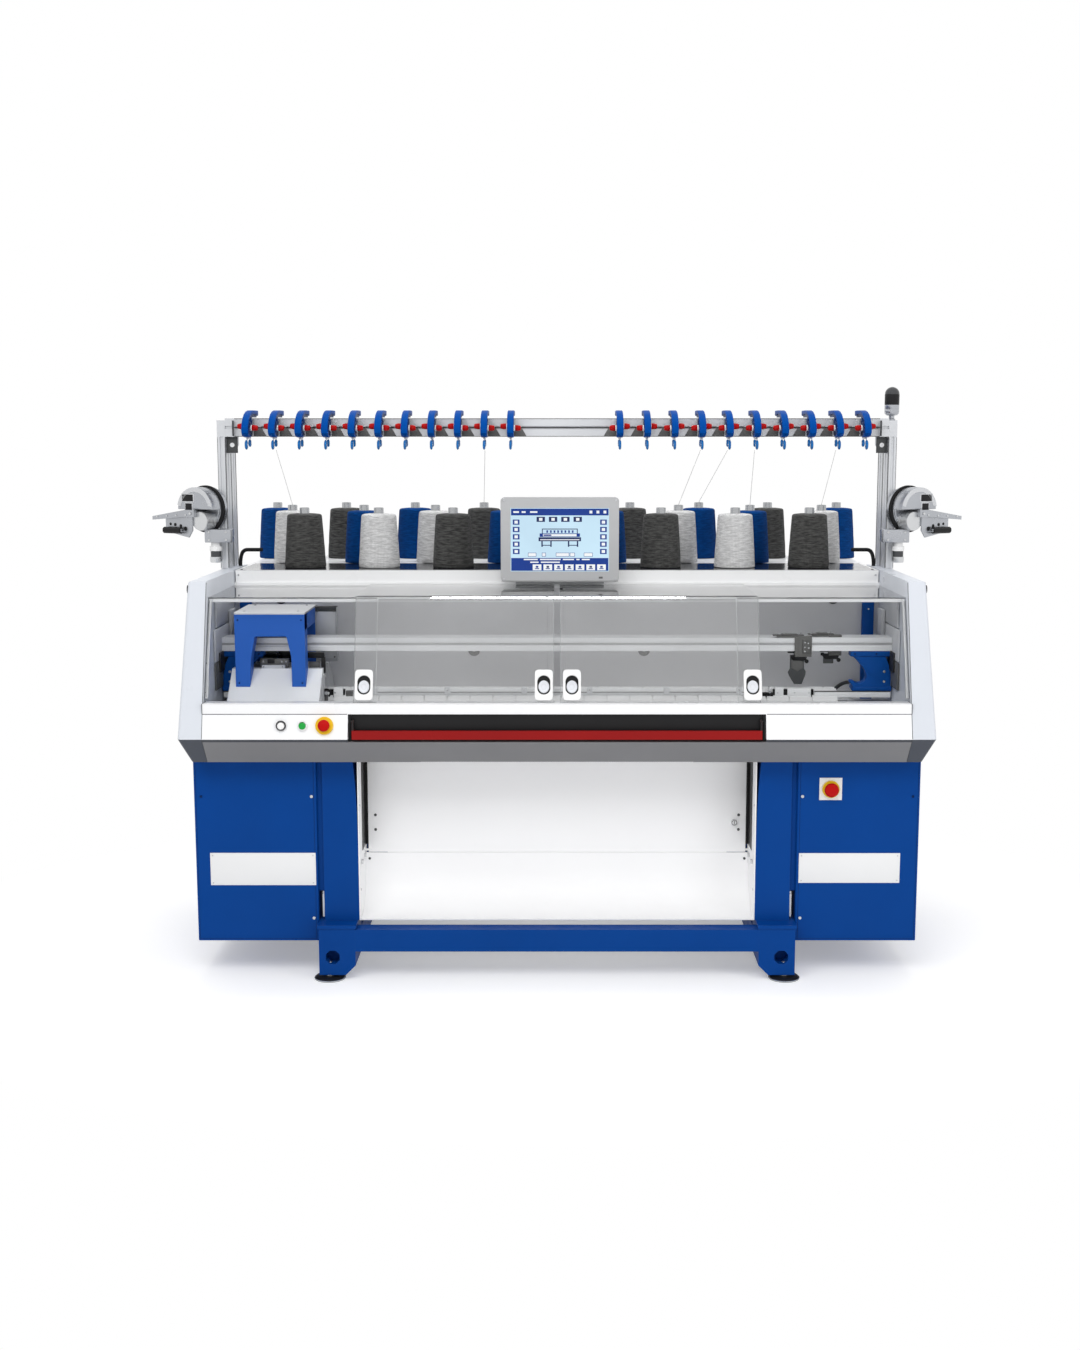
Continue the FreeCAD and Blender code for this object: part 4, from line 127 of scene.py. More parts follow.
def worn_edges(tree, tint, color, edge):
    """Edges a little paler than the faces, found where the softened normal leaves the flat one."""
    flat_normal = add(tree, "NewGeometry").outputs["Normal"]
    same = add(tree, "VectorMath", {0: soft_normal(tree, edge), 1: flat_normal}, operation="DOT_PRODUCT")
    wear = spread(tree, same.outputs["Value"], 0.3, 0.0, 0.86, 0.985)
    return blend_colors(tree, wear, tint, [c * 0.8 + 0.09 for c in color])


def painted(name, color, rough=0.38, metallic=0.0, grain=900.0, depth=0.12, edge=0.0015, vary=0.05,
            stretch=None, zones=(), coat=0.0, shine=0.22):
    """Paint, plastic or metal: slight cloudiness, uneven gloss, fine relief and worn, softened edges.
    Zones are (low, high, colour) boxes that are painted over, each one over those before it."""
    material, tree, principled, vector = shader(name)
    tint = clouded(tree, vector, 3.5, 4.0, color, vary)
    for low, high, patch in zones:
        area = clouded(tree, vector, 14.0, 3.0, patch, vary)
        tint = blend_colors(tree, zone_mask(tree, vector, low, high), tint, area)
    gloss = noise(tree, vector, 40.0 if stretch else 9.0, 3.0, stretch)
    relief = {"Strength": depth, "Distance": 0.0006, "Height": noise(tree, vector, grain, 2.0, stretch)}
    if edge:
        tint = worn_edges(tree, tint, color, edge)
        relief["Normal"] = soft_normal(tree, edge)
    put(principled, {"Base Color": tint, "Metallic": metallic, "Specular IOR Level": shine,
                     "Roughness": spread(tree, gloss, rough * 0.85, min(1.0, rough * 1.18)),
                     "Coat Weight": coat, "Coat Roughness": 0.15,
                     "Normal": add(tree, "Bump", relief).outputs["Normal"]})
    return material


def wound_yarn(name, dark, light, sheen):
    """Cross-wound heather yarn. U runs round the cone and V up it, in metres."""
    material, tree, principled, _ = shader(name)
    uv = add(tree, "UVMap", uv_map="winding").outputs["UV"]
    threads = []
    for angle in (0.16, -0.16):
        crossed = add(tree, "Mapping", {"Rotation": (0, 0, angle), "Vector": uv}).outputs["Vector"]
        threads.append(add(tree, "TexWave", {"Scale": 190.0, "Distortion": 1.2, "Detail": 1.0,
                                             "Vector": crossed}, bands_direction="Y").outputs["Fac"])
    crossing = calculate(tree, "MAXIMUM", *threads)
    streaks = noise(tree, uv, 1.0, 6.0, (36, 210, 1))
    patches = noise(tree, uv, 1.0, 4.0, (26, 115, 1))
    fleck = add(tree, "Math", {0: patches, 1: 0.5, 2: streaks}, operation="MULTIPLY_ADD").outputs[0]
    tint = blend_colors(tree, spread(tree, fleck, 0.0, 1.0, 0.6, 0.9), dark, light)
    shade = spread(tree, crossing, 0.0, 1.0, 0.1, 0.8)
    relief = add(tree, "Bump", {"Strength": 0.55, "Distance": 0.0012, "Height": crossing})
    put(principled, {"Base Color": blend_colors(tree, shade, [c * 0.55 for c in dark], tint),
                     "Roughness": 0.93, "Specular IOR Level": 0.1, "Sheen Weight": sheen,
                     "Sheen Roughness": 0.5, "Normal": relief.outputs["Normal"]})
    return material


def clear_sheet(name, haze=0.0):
    """Clear plastic: see-through, with the gloss that grows at low angles and faint smears."""
    material, tree, principled, vector = shader(name)
    tree.nodes.remove(principled)
    through = add(tree, "BsdfTransparent", {"Color": (0.985, 0.988, 0.99, 1)})
    gloss = add(tree, "BsdfGlossy", {"Roughness": spread(tree, noise(tree, vector, 6.0, 4.0), 0.02, 0.06)})
    fresnel = add(tree, "Fresnel", {"IOR": 1.4}).outputs["Fac"]
    mix = add(tree, "MixShader", {0: spread(tree, fresnel, haze, 0.86, 0.05, 0.36),
                                  1: through.outputs[0], 2: gloss.outputs[0]})
    put(tree.nodes["Material Output"], {"Surface": mix.outputs[0]})
    return material


def lit(name, color, strength):
    """A surface that gives its own light, slightly uneven, behind dark glass."""
    material, tree, principled, vector = shader(name)
    put(principled, {"Base Color": (0.02, 0.02, 0.022, 1), "Specular IOR Level": 0.06, "Roughness": 0.25,
                     "Emission Color": clouded(tree, vector, 8.0, 2.0, color, 0.04),
                     "Emission Strength": strength})
    return material


BLUE = (0.0018, 0.052, 0.262)
# painted shade colour of the front below SHADE_TOP
PANEL_SHADE = (0.062, 0.066, 0.077)
SHADE_TOP = 0.8675      # painted shade: the front and the end covers are painted dark below this height
STOP_YELLOW = (0.8, 0.5, 0.015)
blue = painted("blue_paint", BLUE, rough=0.42, shine=0.07)
blue_bow = painted("bow_paint", (0.033, 0.14, 0.56), rough=0.45, vary=0.03, shine=0.12)
blue_inside = painted("bracket_paint", (0.005, 0.078, 0.345), rough=0.45, shine=0.12)
white = painted("white_paint", (0.88, 0.885, 0.89), rough=0.34, vary=0.012)
flap_white = painted("flap_white", (0.955, 0.955, 0.96), rough=0.4, vary=0.008)
silver = painted("silver_paint", (0.72, 0.74, 0.78), rough=0.33, vary=0.02, metallic=0.1)
grey = painted("grey_paint", (0.66, 0.66, 0.67), rough=0.42, vary=0.03)
wall_grey = painted("wall_paint", (0.76, 0.76, 0.775), rough=0.5, vary=0.03,
                    zones=[above(1.315, (0.93, 0.935, 0.94))])
light_grey = painted("light_grey_paint", (0.62, 0.63, 0.65), rough=0.42, vary=0.02)
dark = painted("dark_metal", (0.028, 0.028, 0.03), rough=0.4, shine=0.15)
gunmetal = painted("gunmetal", (0.13, 0.13, 0.127), rough=0.42, metallic=0.2)
feeder_grey = painted("feeder_grey", (0.15, 0.15, 0.145), rough=0.42, metallic=0.15)
nose_grey = painted("nose_grey", (0.075, 0.078, 0.08), rough=0.4, metallic=0.15)
black = painted("black_plastic", (0.012, 0.012, 0.013), rough=0.35, shine=0.2)
rubber = painted("rubber", (0.018, 0.018, 0.019), rough=0.75, grain=500, depth=0.3, shine=0.12)
steel = painted("bare_steel", (0.74, 0.74, 0.74), rough=0.34, metallic=0.3, stretch=(1, 30, 30))
zinc = painted("zinc_steel", (0.66, 0.67, 0.68), rough=0.27, metallic=0.85)
aluminium = painted("aluminium", (0.76, 0.77, 0.78), rough=0.36, metallic=0.55, stretch=(1, 40, 40))
mast_metal = painted("mast_aluminium", (0.68, 0.695, 0.72), metallic=0.5, stretch=(40, 40, 1))
red = painted("red_plastic", (0.46, 0.003, 0.003), rough=0.32, shine=0.12)
green = painted("green_plastic", (0.01, 0.33, 0.045), rough=0.28, coat=0.2)
white_plastic = painted("white_plastic", (0.86, 0.86, 0.86), rough=0.3, vary=0.012)
core_metal = painted("core_metal", (0.44, 0.45, 0.46), rough=0.22, metallic=0.85, edge=0.0006)
cast_silver = painted("cast_silver", (0.46, 0.475, 0.505), rough=0.27, metallic=0.8, vary=0.08)
chrome = painted("bright_steel", (0.85, 0.86, 0.88), rough=0.12, metallic=1.0, edge=0.0008)
pane = clear_sheet("clear_plastic")
pane_cover = clear_sheet("cover_plastic", haze=0.1)
pane_edge = painted("pane_edge", (0.9, 0.92, 0.92), rough=0.2)
pane_rim = painted("pane_rim", (0.5, 0.52, 0.53), rough=0.2)
yarn_dark = wound_yarn("yarn_dark", (0.042, 0.042, 0.041), (0.12, 0.12, 0.116), 0.1)
yarn_light = wound_yarn("yarn_light", (0.62, 0.62, 0.62), (0.95, 0.95, 0.95), 0.1)
yarn_blue = wound_yarn("yarn_blue", (0.001, 0.04, 0.175), (0.002, 0.068, 0.29), 0.02)
mat_dark = painted("mat", (0.008, 0.01, 0.016), rough=0.14, coat=0.25)
strip_light = lit("light_strip", (0.95, 0.97, 1.0), 22.0)
screen_pale = lit("screen_pale", (0.6, 0.82, 0.97), 0.95)
screen_blue = lit("screen_blue", (0.001, 0.036, 0.26), 1.0)
screen_white = lit("screen_white", (0.93, 0.96, 1.0), 0.95)
screen_navy = lit("screen_navy", (0.01, 0.03, 0.16), 0.6)

# painted shade: the front panels are painted dark below SHADE_TOP
PANEL = painted("panel_paint", (0.9, 0.905, 0.915), rough=0.3, vary=0.01,
                zones=[below(SHADE_TOP, PANEL_SHADE)])
# painted shade: the end covers are painted dark below SHADE_TOP
COVER = painted("end_cover_paint", (0.68, 0.71, 0.765), rough=0.32, vary=0.02,
                zones=[below(SHADE_TOP, (0.062, 0.07, 0.088))])
BEZELS = painted("control_rings", (0.8, 0.8, 0.8), rough=0.3,
                 zones=[((-0.81, None, None), (-0.73, None, None), STOP_YELLOW),
                        # painted shadow: a dark ring round the white push button
                        ((-0.94, None, None), (-0.895, None, None), (0.05, 0.05, 0.055)),
                        ((0.9, -0.56, 0.631), (0.98, -0.5185, 0.697), STOP_YELLOW)])
CARRIAGE = painted("carriage_paint", (0.52, 0.53, 0.55), rough=0.42, vary=0.02,
                   zones=[((None, None, None), (None, -0.3, 1.0638), (0.84, 0.85, 0.865)),
                          ((None, None, 1.2588), (-0.8652, None, None), (0.86, 0.865, 0.88)),
                          ((-0.8645, None, 1.2585), (None, None, 1.262), (0.02, 0.02, 0.022))])
RAILS = painted("rail_aluminium", (0.8, 0.81, 0.82), rough=0.36, metallic=0.35, stretch=(1, 40, 40),
                zones=[((None, -0.341, 1.1392), (None, -0.338, 1.1468), (0.42, 0.42, 0.43)),
                       above(1.1655, (0.86, 0.865, 0.87))])
SHELF = painted("shelf_paint", (0.92, 0.925, 0.93), rough=0.3, vary=0.01)
# painted shade: the sloping apron under the front is painted dark grey, a little lighter above 0.8545
APRON_PAINTED_SHADE = painted("apron_painted_shade", (0.21, 0.21, 0.216), rough=0.42, vary=0.03,
                zones=[above(0.8545, (0.24, 0.24, 0.25))])
BAR = painted("bar_paint", (0.27, 0.0035, 0.0035), rough=0.36, shine=0.2,
              zones=[above(0.8965, (0.02, 0.02, 0.021))])
monitor_grey = painted("monitor_paint", (0.47, 0.475, 0.485), rough=0.42, vary=0.02)
fin_blue = painted("fin_blue", (0.0006, 0.06, 0.3), rough=0.4, edge=0.0006, shine=0.03)
fin_dark = painted("fin_dark", (0.014, 0.04, 0.15), rough=0.4, edge=0.0008, shine=0.15)
fin_web = painted("fin_web", (0.01, 0.028, 0.115), rough=0.45, edge=0.0008, shine=0.12)
paddle_blue = painted("paddle_blue", (0.01, 0.14, 0.42), rough=0.35, edge=0.0006)
smoked = painted("smoked_dome", (0.05, 0.052, 0.056), rough=0.12, coat=0.4, edge=0.0008)
seam = painted("seam_shadow", (0.06, 0.062, 0.068), rough=0.6, edge=0)
navy = painted("navy_seam", (0.003, 0.022, 0.1), rough=0.5, edge=0, shine=0.1)
plate_white = painted("plate_white", (0.84, 0.845, 0.85), rough=0.35, vary=0.012, edge=0.0008)

NODE_LOOKS = (
    (blue, "stand cabinets unit_housings"), (zinc, "levelling_feet cone_cores lamp flap_latch"),
    (grey, "bed_base"), (steel, "needle_beds"), (COVER, "end_covers"),
    (black, "end_knobs black_trim feed_roller_left feed_roller_right"), (PANEL, "front_panels"),
    (APRON_PAINTED_SHADE, "apron"), (wall_grey, "rear_wall"), (pane, "end_windows"),
    (pane_cover, "cover_left cover_right"),
    (chrome, "thumb_left_outer thumb_left_inner thumb_right_inner thumb_right_outer"),
    (white_plastic, "handles_left handles_right unit_arms button_white"), (SHELF, "shelf"),
    (mat_dark, "shelf_mat"), (yarn_dark, "cones_dark"), (yarn_light, "cones_light"),
    (yarn_blue, "cones_blue"), (monitor_grey, "monitor_stand monitor_housing"), (dark, "monitor_arm"),
    (screen_pale, "monitor_screen"), (mast_metal, "yarn_frame"),
    (red, "unit_knobs estop_panel estop_cabinet"), (silver, "feed_units"),
    (cast_silver, "feed_lever_left feed_lever_right"), (BEZELS, "button_bezels"), (green, "button_green"),
    (BAR, "start_bar"), (flap_white, "flap lower_panels"),
    (rubber, "takedown_roller_front takedown_roller_back hoses"), (RAILS, "rails"),
    (blue_inside, "rail_brackets"), (blue_bow, "carriage_bow"), (CARRIAGE, "carriage_covers"),
    (feeder_grey, "feeder_1 feeder_2 feeder_3"), (white, "yarns"),
)
for look, nodes in NODE_LOOKS:
    for node in nodes.split():
        for material_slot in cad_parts[node].material_slots:
            material_slot.material = look


# ---------------------------------------------------------------- piece maker

def show(name, data):
    """Puts new data in the scene as an object."""
    made = bpy.data.objects.new(name, data)
    bpy.context.scene.collection.objects.link(made)
    return made


def circle(radius, steps):
    """Points round the origin, from +X towards +Y."""
    return [(radius * math.cos(2 * math.pi * i / steps), radius * math.sin(2 * math.pi * i / steps))
            for i in range(steps)]


def puck(radius, low, high):
    """The lathe profile of a plain round block."""
    return [(0, low), (radius, low), (radius, high), (0, high)]


class Piece:
    """Forms gathered in one mesh, each with its own material, in the frame's own metres."""

    def __init__(self, name):
        self.name = name
        self.mesh = bmesh.new()
        self.uv = self.mesh.loops.layers.uv.new("winding")
        self.materials = []

    def take(self, before, material, turn=None, smooth=True):
        """Gives what was added since before its material and its place."""
        fresh = [f for f in self.mesh.faces if f not in before]
        if material not in self.materials:
            self.materials.append(material)
        for face in fresh:
            face.material_index = self.materials.index(material)
            face.smooth = smooth
        if turn is not None:
            corners = list({v for f in fresh for v in f.verts})
            bmesh.ops.transform(self.mesh, matrix=turn, verts=corners)

    def soften(self, edges, radius):
        bmesh.ops.bevel(self.mesh, geom=list(edges), offset=radius, segments=2, profile=0.5, affect="EDGES",
                        clamp_overlap=True)

    def box(self, low, high, material, round_off=0.001, turn=None):
        """A block between two corners, given in either order, with softened edges."""
        before = set(self.mesh.faces)
        size = [abs(h - l) for l, h in zip(low, high)]
        middle = [(h + l) / 2 for l, h in zip(low, high)]
        place = Matrix.Translation(middle) @ Matrix.Diagonal((*size, 1))
        made = bmesh.ops.create_cube(self.mesh, size=1.0, matrix=place)
        radius = min(round_off, min(size) * 0.45)
        if radius > 0:
            self.soften({e for v in made["verts"] for e in v.link_edges}, radius)
        self.take(before, material, turn)

    def lathe(self, profile, material, turn=None, steps=32, closed=False):
        """Turns (radius, height) points about Z. Points on the axis close the piece."""
        before = set(self.mesh.faces)
        rings = [[self.mesh.verts.new((x, y, height))
                  for x, y in (circle(radius, steps) if radius else [(0, 0)])] for radius, height in profile]
        for low, high in zip(rings, rings[1:] + rings[:1] if closed else rings[1:]):
            if len(low) == len(high) == 1:
                continue
            for i in range(steps):
                j = (i + 1) % steps
                if len(low) == 1:
                    corners = [low[0], high[j], high[i]]
                elif len(high) == 1:
                    corners = [low[i], low[j], high[0]]
                else:
                    corners = [low[i], low[j], high[j], high[i]]
                for loop in self.mesh.faces.new(corners).loops:
                    x, y, z = loop.vert.co
                    angle = math.atan2(y, x) % (2 * math.pi)
                    if j == 0 and angle < 1:
                        angle = 2 * math.pi
                    loop[self.uv].uv = (angle * MEAN_CONE_RADIUS, z)
        self.take(before, material, turn)

    def plate(self, corners, run, material, turn=None, round_off=0.0, smooth=True):
        """A flat outline of 3-D points pushed along run, with its rims softened."""
        before = set(self.mesh.faces)
        low = [self.mesh.verts.new(c) for c in corners]
        high = [self.mesh.verts.new(Vector(c) + Vector(run)) for c in corners]
        faces = [self.mesh.faces.new(low), self.mesh.faces.new(high[::-1])]
        for i in range(len(corners)):
            faces.append(self.mesh.faces.new([low[i], low[i - 1], high[i - 1], high[i]]))
        bmesh.ops.recalc_face_normals(self.mesh, faces=faces)
        if round_off > 0:
            self.soften({e for f in faces[:2] for e in f.edges}, round_off)
        self.take(before, material, turn, smooth)

    def tube(self, points, radius, material, steps=10):
        """A round bar through points, capped at both ends."""
        before = set(self.mesh.faces)
        points = [Vector(p) for p in points]
        rings = []
        for i, point in enumerate(points):
            ahead = points[min(i + 1, len(points) - 1)] - points[max(i - 1, 0)]
            turn = facing(ahead)
            rings.append([self.mesh.verts.new(point + turn @ Vector((x, y, 0)))
                          for x, y in circle(radius, steps)])
        for low, high in zip(rings, rings[1:]):
            for i in range(steps):
                self.mesh.faces.new([low[i - 1], low[i], high[i], high[i - 1]])
        self.mesh.faces.new(rings[0][::-1])
        self.mesh.faces.new(rings[-1])
        self.take(before, material)

    def done(self, body="machine", slot=None, replaces=(), sharp=40):
        """Makes the object. Edges steeper than sharp degrees stay sharp."""
        bmesh.ops.recalc_face_normals(self.mesh, faces=self.mesh.faces)
        limit = math.radians(sharp)
        for edge in self.mesh.edges:
            edge.smooth = not (len(edge.link_faces) == 2 and edge.calc_face_angle(0) > limit)
        data = bpy.data.meshes.new(self.name)
        self.mesh.to_mesh(data)
        self.mesh.free()
        for material in self.materials:
            data.materials.append(material)
        piece = show(self.name, data)
        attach(piece, body)
        if replaces:
            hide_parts(*replaces)


def at(x, y, z, turn=None):
    place = Matrix.Translation((x, y, z))
    return place @ turn.to_4x4() if turn is not None else place


def facing(direction):
    """Turns +Z to a direction."""
    return Vector(direction).to_track_quat("Z", "Y").to_matrix()


def screw(piece, place, direction, radius=0.004, material=None):
    """Socket-head screws that stand on a surface. A coordinate with several values gives a screw for each."""
    profile = [(0, -0.0005), (radius, -0.0005), (radius, 0.0016), (radius * 0.86, 0.0024),
               (radius * 0.5, 0.0024), (radius * 0.45, 0.0012), (0, 0.0012)]
    for point in product(*(c if isinstance(c, tuple) else (c,) for c in place)):
        piece.lathe(profile, material or zinc, at(*point, facing(direction)), 20)


# ---------------------------------------------------------------- shared sizes, in metres, and directions

MEAN_CONE_RADIUS = 0.07
CABINET_FRONT, CABINET_BACK, CABINET_SIDE = -0.515, 0.4, 1.25     # Y, Y and X of the faces
REAR_PANEL, REAR_WALL, BRACKET_FRONT = 0.54, -0.06, -0.336     # Y of these faces
FEED_UNIT = 1.284       # X of a feed unit's disc
FRONT, BACK = (0, -1, 0), (0, 1, 0)
FORWARD = Matrix.Rotation(math.radians(90), 3, "X")     # turns +Z to the front
# X of each yarn control unit, and the side of it that faces the middle of the machine
UNITS = [(-1.115 + i * 0.0948, 1) for i in range(11)] + [(0.226 + i * 0.0984, -1) for i in range(10)]
FRONT_FOOT, FRONT_HEAD = (0.685, 0.868), (0.535, 1.38)      # (distance in front of the middle, height)
PANE_FOOT, PANE_HEAD = (0.635, 0.983), (0.515, 1.33)
FRONT_LEAN = math.atan((FRONT_FOOT[0] - FRONT_HEAD[0]) / (FRONT_HEAD[1] - FRONT_FOOT[1]))
PANE_LEAN = math.atan((PANE_FOOT[0] - PANE_HEAD[0]) / (PANE_HEAD[1] - PANE_FOOT[1]))
LEANING_FRONT = Matrix.Rotation(-FRONT_LEAN, 3, "X")
LEANING_PANE = Matrix.Rotation(-PANE_LEAN, 3, "X")


def panel_y(height):
    """Y of the leaning front at a height above its foremost line."""
    return -(FRONT_FOOT[0] - (height - FRONT_FOOT[1]) * math.tan(FRONT_LEAN))


# ---------------------------------------------------------------- yarn cones

def cone_places():
    """X, Y and colour of every cone, in three rows on either side of the monitor."""
    pitch = 0.277
    rows = [((i + 0.4) * pitch, 0.095, c) for i, c in enumerate(("light", "dark", "light", "dark"))]
    rows += [((i + 0.7) * pitch, 0.335, c) for i, c in enumerate(("blue", "light", "blue", "light"))]
    rows += [((i + 1.06) * pitch, 0.58, c) for i, c in enumerate(("dark", "blue", "dark", "blue"))]
    return [(side * x, y, c) for side in (-1, 1) for x, y, c in rows]


def build_cones():
    """Wound cones with domed shoulders and a slightly uneven lay."""
    foot, wide, narrow, height, bore = 1.379, 0.077, 0.0652, 0.1848, 0.0194
    looks = {"dark": yarn_dark, "light": yarn_light, "blue": yarn_blue}
    sets = {colour: Piece(f"wound_cones_{colour}") for colour in looks}
    cores = Piece("cone_tubes")
    for x, y, colour in cone_places():
        swell = 1 + random.uniform(-0.012, 0.004)
        profile = [(bore, 0.0015), (0.0735, 0.0), (0.0766, 0.003)]
        for step in range(1, 14):
            share = step / 13
            radius = wide + (narrow - wide) * share + 0.0005 * math.sin(share * math.pi)
            radius += 0.00045 * math.sin(share * 21 + x * 40) * (1 - share)
            profile.append((radius * swell, 0.003 + share * height))
        profile += [(0.064 * swell, 0.1928), (0.0612, 0.196), (0.056, 0.1978), (0.04, 0.1996),
                    (bore, 0.2006)]
        spin = Matrix.Rotation(random.uniform(0, 6.2), 4, "Z")
        sets[colour].lathe(profile, looks[colour], at(x, y, foot) @ spin, 44, closed=True)
        cores.lathe([(0.015, 0.0), (0.0185, 0.0), (0.0183, 0.219), (0.0175, 0.2216), (0.015, 0.2216),
                     (0.0142, 0.214)], core_metal, at(x, y, foot), 24, closed=True)
    for colour, piece in sets.items():
        piece.done(slot=f"yarn_{colour}", replaces=[f"cones_{colour}"], sharp=50)
    cores.done(slot="zinc_steel", replaces=["cone_cores"])


# ---------------------------------------------------------------- yarn control units

def build_units():
    """Curved fins with a raised rim, discs and lobes, tapered red knobs on both sides, arms with blue
    paddles, and the trim of the beam and the yarn frame behind them."""
    fins, knobs, arms = Piece("control_unit_fins"), Piece("tension_knobs"), Piece("yarn_arms")
    backs = Piece("beam_trim")
    rim = [(0.09, 1.957), (0.04, 1.9572), (-0.005, 1.9568), (-0.04, 1.9525), (-0.075, 1.942),
           (-0.102, 1.926), (-0.121, 1.906), (-0.129, 1.89), (-0.127, 1.875), (-0.114, 1.865),
           (-0.088, 1.86), (-0.06, 1.859), (-0.056, 1.866), (-0.08, 1.868), (-0.101, 1.872),
           (-0.113, 1.88), (-0.115, 1.89), (-0.108, 1.902), (-0.091, 1.918), (-0.067, 1.931),
           (-0.036, 1.94), (0.0, 1.9432), (0.052, 1.9432), (0.088, 1.938)]
    web = [(0.086, 1.932), (0.086, 1.952), (0.0, 1.952), (-0.04, 1.947), (-0.074, 1.936), (-0.1, 1.921),
           (-0.117, 1.903), (-0.124, 1.89), (-0.12, 1.876), (-0.096, 1.864), (-0.03, 1.86), (-0.003, 1.868),
           (-0.003, 1.932)]
    sideways = {side: Matrix.Rotation(math.radians(90 * side), 3, "Y") for side in (-1, 1)}
    for x, inward in UNITS:
        fins.plate([(x - 0.012, y, z) for y, z in rim], (0.024, 0, 0), fin_blue, round_off=0.003)
        fins.plate([(x - 0.006, y, z) for y, z in web], (0.012, 0, 0), fin_web, round_off=0.0015)
        for side in (-1, 1):
            turn = sideways[side]
            for y, level, radius in ((-0.042, 1.915, 0.015), (-0.072, 1.905, 0.012), (-0.09, 1.88, 0.011)):
                fins.lathe([(0, 0), (radius, 0), (radius, 0.0045), (radius * 0.8, 0.006),
                            (radius * 0.35, 0.006), (radius * 0.3, 0.0045), (0, 0.0045)], fin_dark,
                           at(x + side * 0.0055, y, level, turn), 22)
            place = at(x + side * 0.005, -0.062, 1.893 if side == inward else 1.899, turn)
            fins.lathe([(0, 0), (0.019, 0), (0.02, 0.002), (0.019, 0.004), (0.008, 0.006), (0, 0.006)],
                       fin_dark, place, 28)
            knobs.lathe([(0, 0.0105), (0.0098, 0.0105), (0.0108, 0.013), (0.0108, 0.02), (0.0092, 0.028),
                         (0.0074, 0.0315), (0, 0.0323)], red, place, 24)
            knobs.lathe([(0, 0.005), (0.0105, 0.005), (0.0108, 0.007), (0.0108, 0.0095), (0.01, 0.0107),
                         (0, 0.0107)], white_plastic, place, 20)
        for y, lead, foot, size in ((-0.07, -0.026, 1.833, 1.15), (-0.036, 0.008, 1.839, 0.9)):
            top = Vector((x, y, 1.866))
            tip = Vector((x, y + lead, foot + 0.008))
            arms.tube([top, top.lerp(tip, 0.5) + Vector((0.0012, 0, 0)), tip], 0.0024, white_plastic, 8)
            arms.box((x - 0.0045, y - 0.008, 1.854), (x + 0.0045, y + 0.008, 1.865), white_plastic, 0.0015)
            place = at(x - 0.0045, y + lead, foot, sideways[1])
            arms.lathe([(0, 0), (0.011, 0), (0.0142, 0.002), (0.015, 0.0045), (0.0142, 0.007), (0.011, 0.009),
                        (0, 0.009)], paddle_blue, place @ Matrix.Diagonal((size, 0.85 * size, 1, 1)), 28)
            for lift in (-0.0008, 0.0082):
                arms.lathe(puck(0.003, lift, lift + 0.0016), white_plastic, place, 14)
        near, half, far, top = (x + inward * reach for reach in (0.01, 0.039, 0.056, 0.021))
        for face, run, look, corners in (
                (-0.0016, 0.0015, gunmetal, ((near, 1.864), (far, 1.864), (half, 1.893), (near, 1.893))),
                (-0.0014, 0.0013, light_grey, ((near, 1.897), (half, 1.897), (top, 1.9255), (near, 1.9255)))):
            backs.plate([(along, face, z) for along, z in corners], (0, run, 0), look, round_off=0.0003)
    for low, high, look in ((1.9258, 1.928, nose_grey), (1.8622, 1.8642, nose_grey), (1.8932, 1.8968, dark)):
        backs.box((-1.176, -0.001, low), (1.176, 0.0006, high), look, 0.0002)
    for side in (-1, 1):
        for low, high in (((1.2104, -0.001, 1.384), (1.2122, 0.0008, 1.86)),
                          ((1.2384, -0.001, 1.384), (1.2396, 0.0008, 1.86)),
                          ((1.2092, 0.003, 1.384), (1.2104, 0.006, 1.858)),
                          ((1.2092, 0.088, 1.384), (1.2104, 0.097, 1.858)),
                          ((1.2092, 0.176, 1.384), (1.2104, 0.183, 1.858)),
                          ((1.1765, -0.033, 1.864), (1.1775, -0.002, 1.92))):
            backs.box((side * low[0], *low[1:]), (side * high[0], *high[1:]), nose_grey, 0.0002)
        corners = ((1.1685, 1.803), (1.2095, 1.803), (1.2095, 1.861), (1.1685, 1.861))
        backs.plate([(side * x, 0.0188, z) for x, z in corners], (0, 0.0011, 0), nose_grey, round_off=0.0003)
        backs.lathe(puck(0.0085, 0, 0.0005), plate_white, at(side * 1.189, 0.0188, 1.832, facing(FRONT)), 24)
    fins.done(slot="blue_paint", replaces=["unit_housings"])
    knobs.done(slot="red_plastic", replaces=["unit_knobs"])
    arms.done(slot="white_plastic", replaces=["unit_arms"])
    backs.done(slot="aluminium")


def build_lamp():
    """Signal lamp with its stem, ribbed base, black band and smoked dome."""
    lamp = Piece("signal_lamp")
    place = at(1.225, 0.035, 0)
    lamp.lathe([(0, 1.921), (0.014, 1.921), (0.014, 1.926), (0.01, 1.928), (0.01, 1.938), (0.02, 1.94),
                (0.0255, 1.946), (0.0265, 1.952), (0.0265, 1.96), (0.0258, 1.961), (0.0265, 1.962),
                (0.0265, 1.977), (0, 1.979)], cast_silver, place, 40)
    lamp.lathe([(0, 1.977), (0.0262, 1.977), (0.0266, 1.979), (0.0266, 2.0145), (0.026, 2.0165), (0, 2.017)],
               black, place, 40)
    dome = [(0, 2.0155), (0.0263, 2.0155)]
    for step in range(9):
        angle = math.radians(step * 11.25)
        dome.append((0.0263 * math.cos(angle), 2.0165 + 0.0255 * math.sin(angle)))
    dome[-1] = (0, 2.042)
    lamp.lathe(dome, smoked, place, 40)
    lamp.done(slot="zinc_steel", replaces=["lamp"])


# ---------------------------------------------------------------- side feed units

def arc(radius, y, angles):
    """Points of a circle that faces the front, at angles in degrees."""
    return [(radius * math.cos(math.radians(a)), y, radius * math.sin(math.radians(a))) for a in angles]


def feed_unit_place(side):
    return Matrix.Translation((side * FEED_UNIT, 0, 1.6)) @ Matrix.Rotation(side * math.radians(28), 4, "Z")


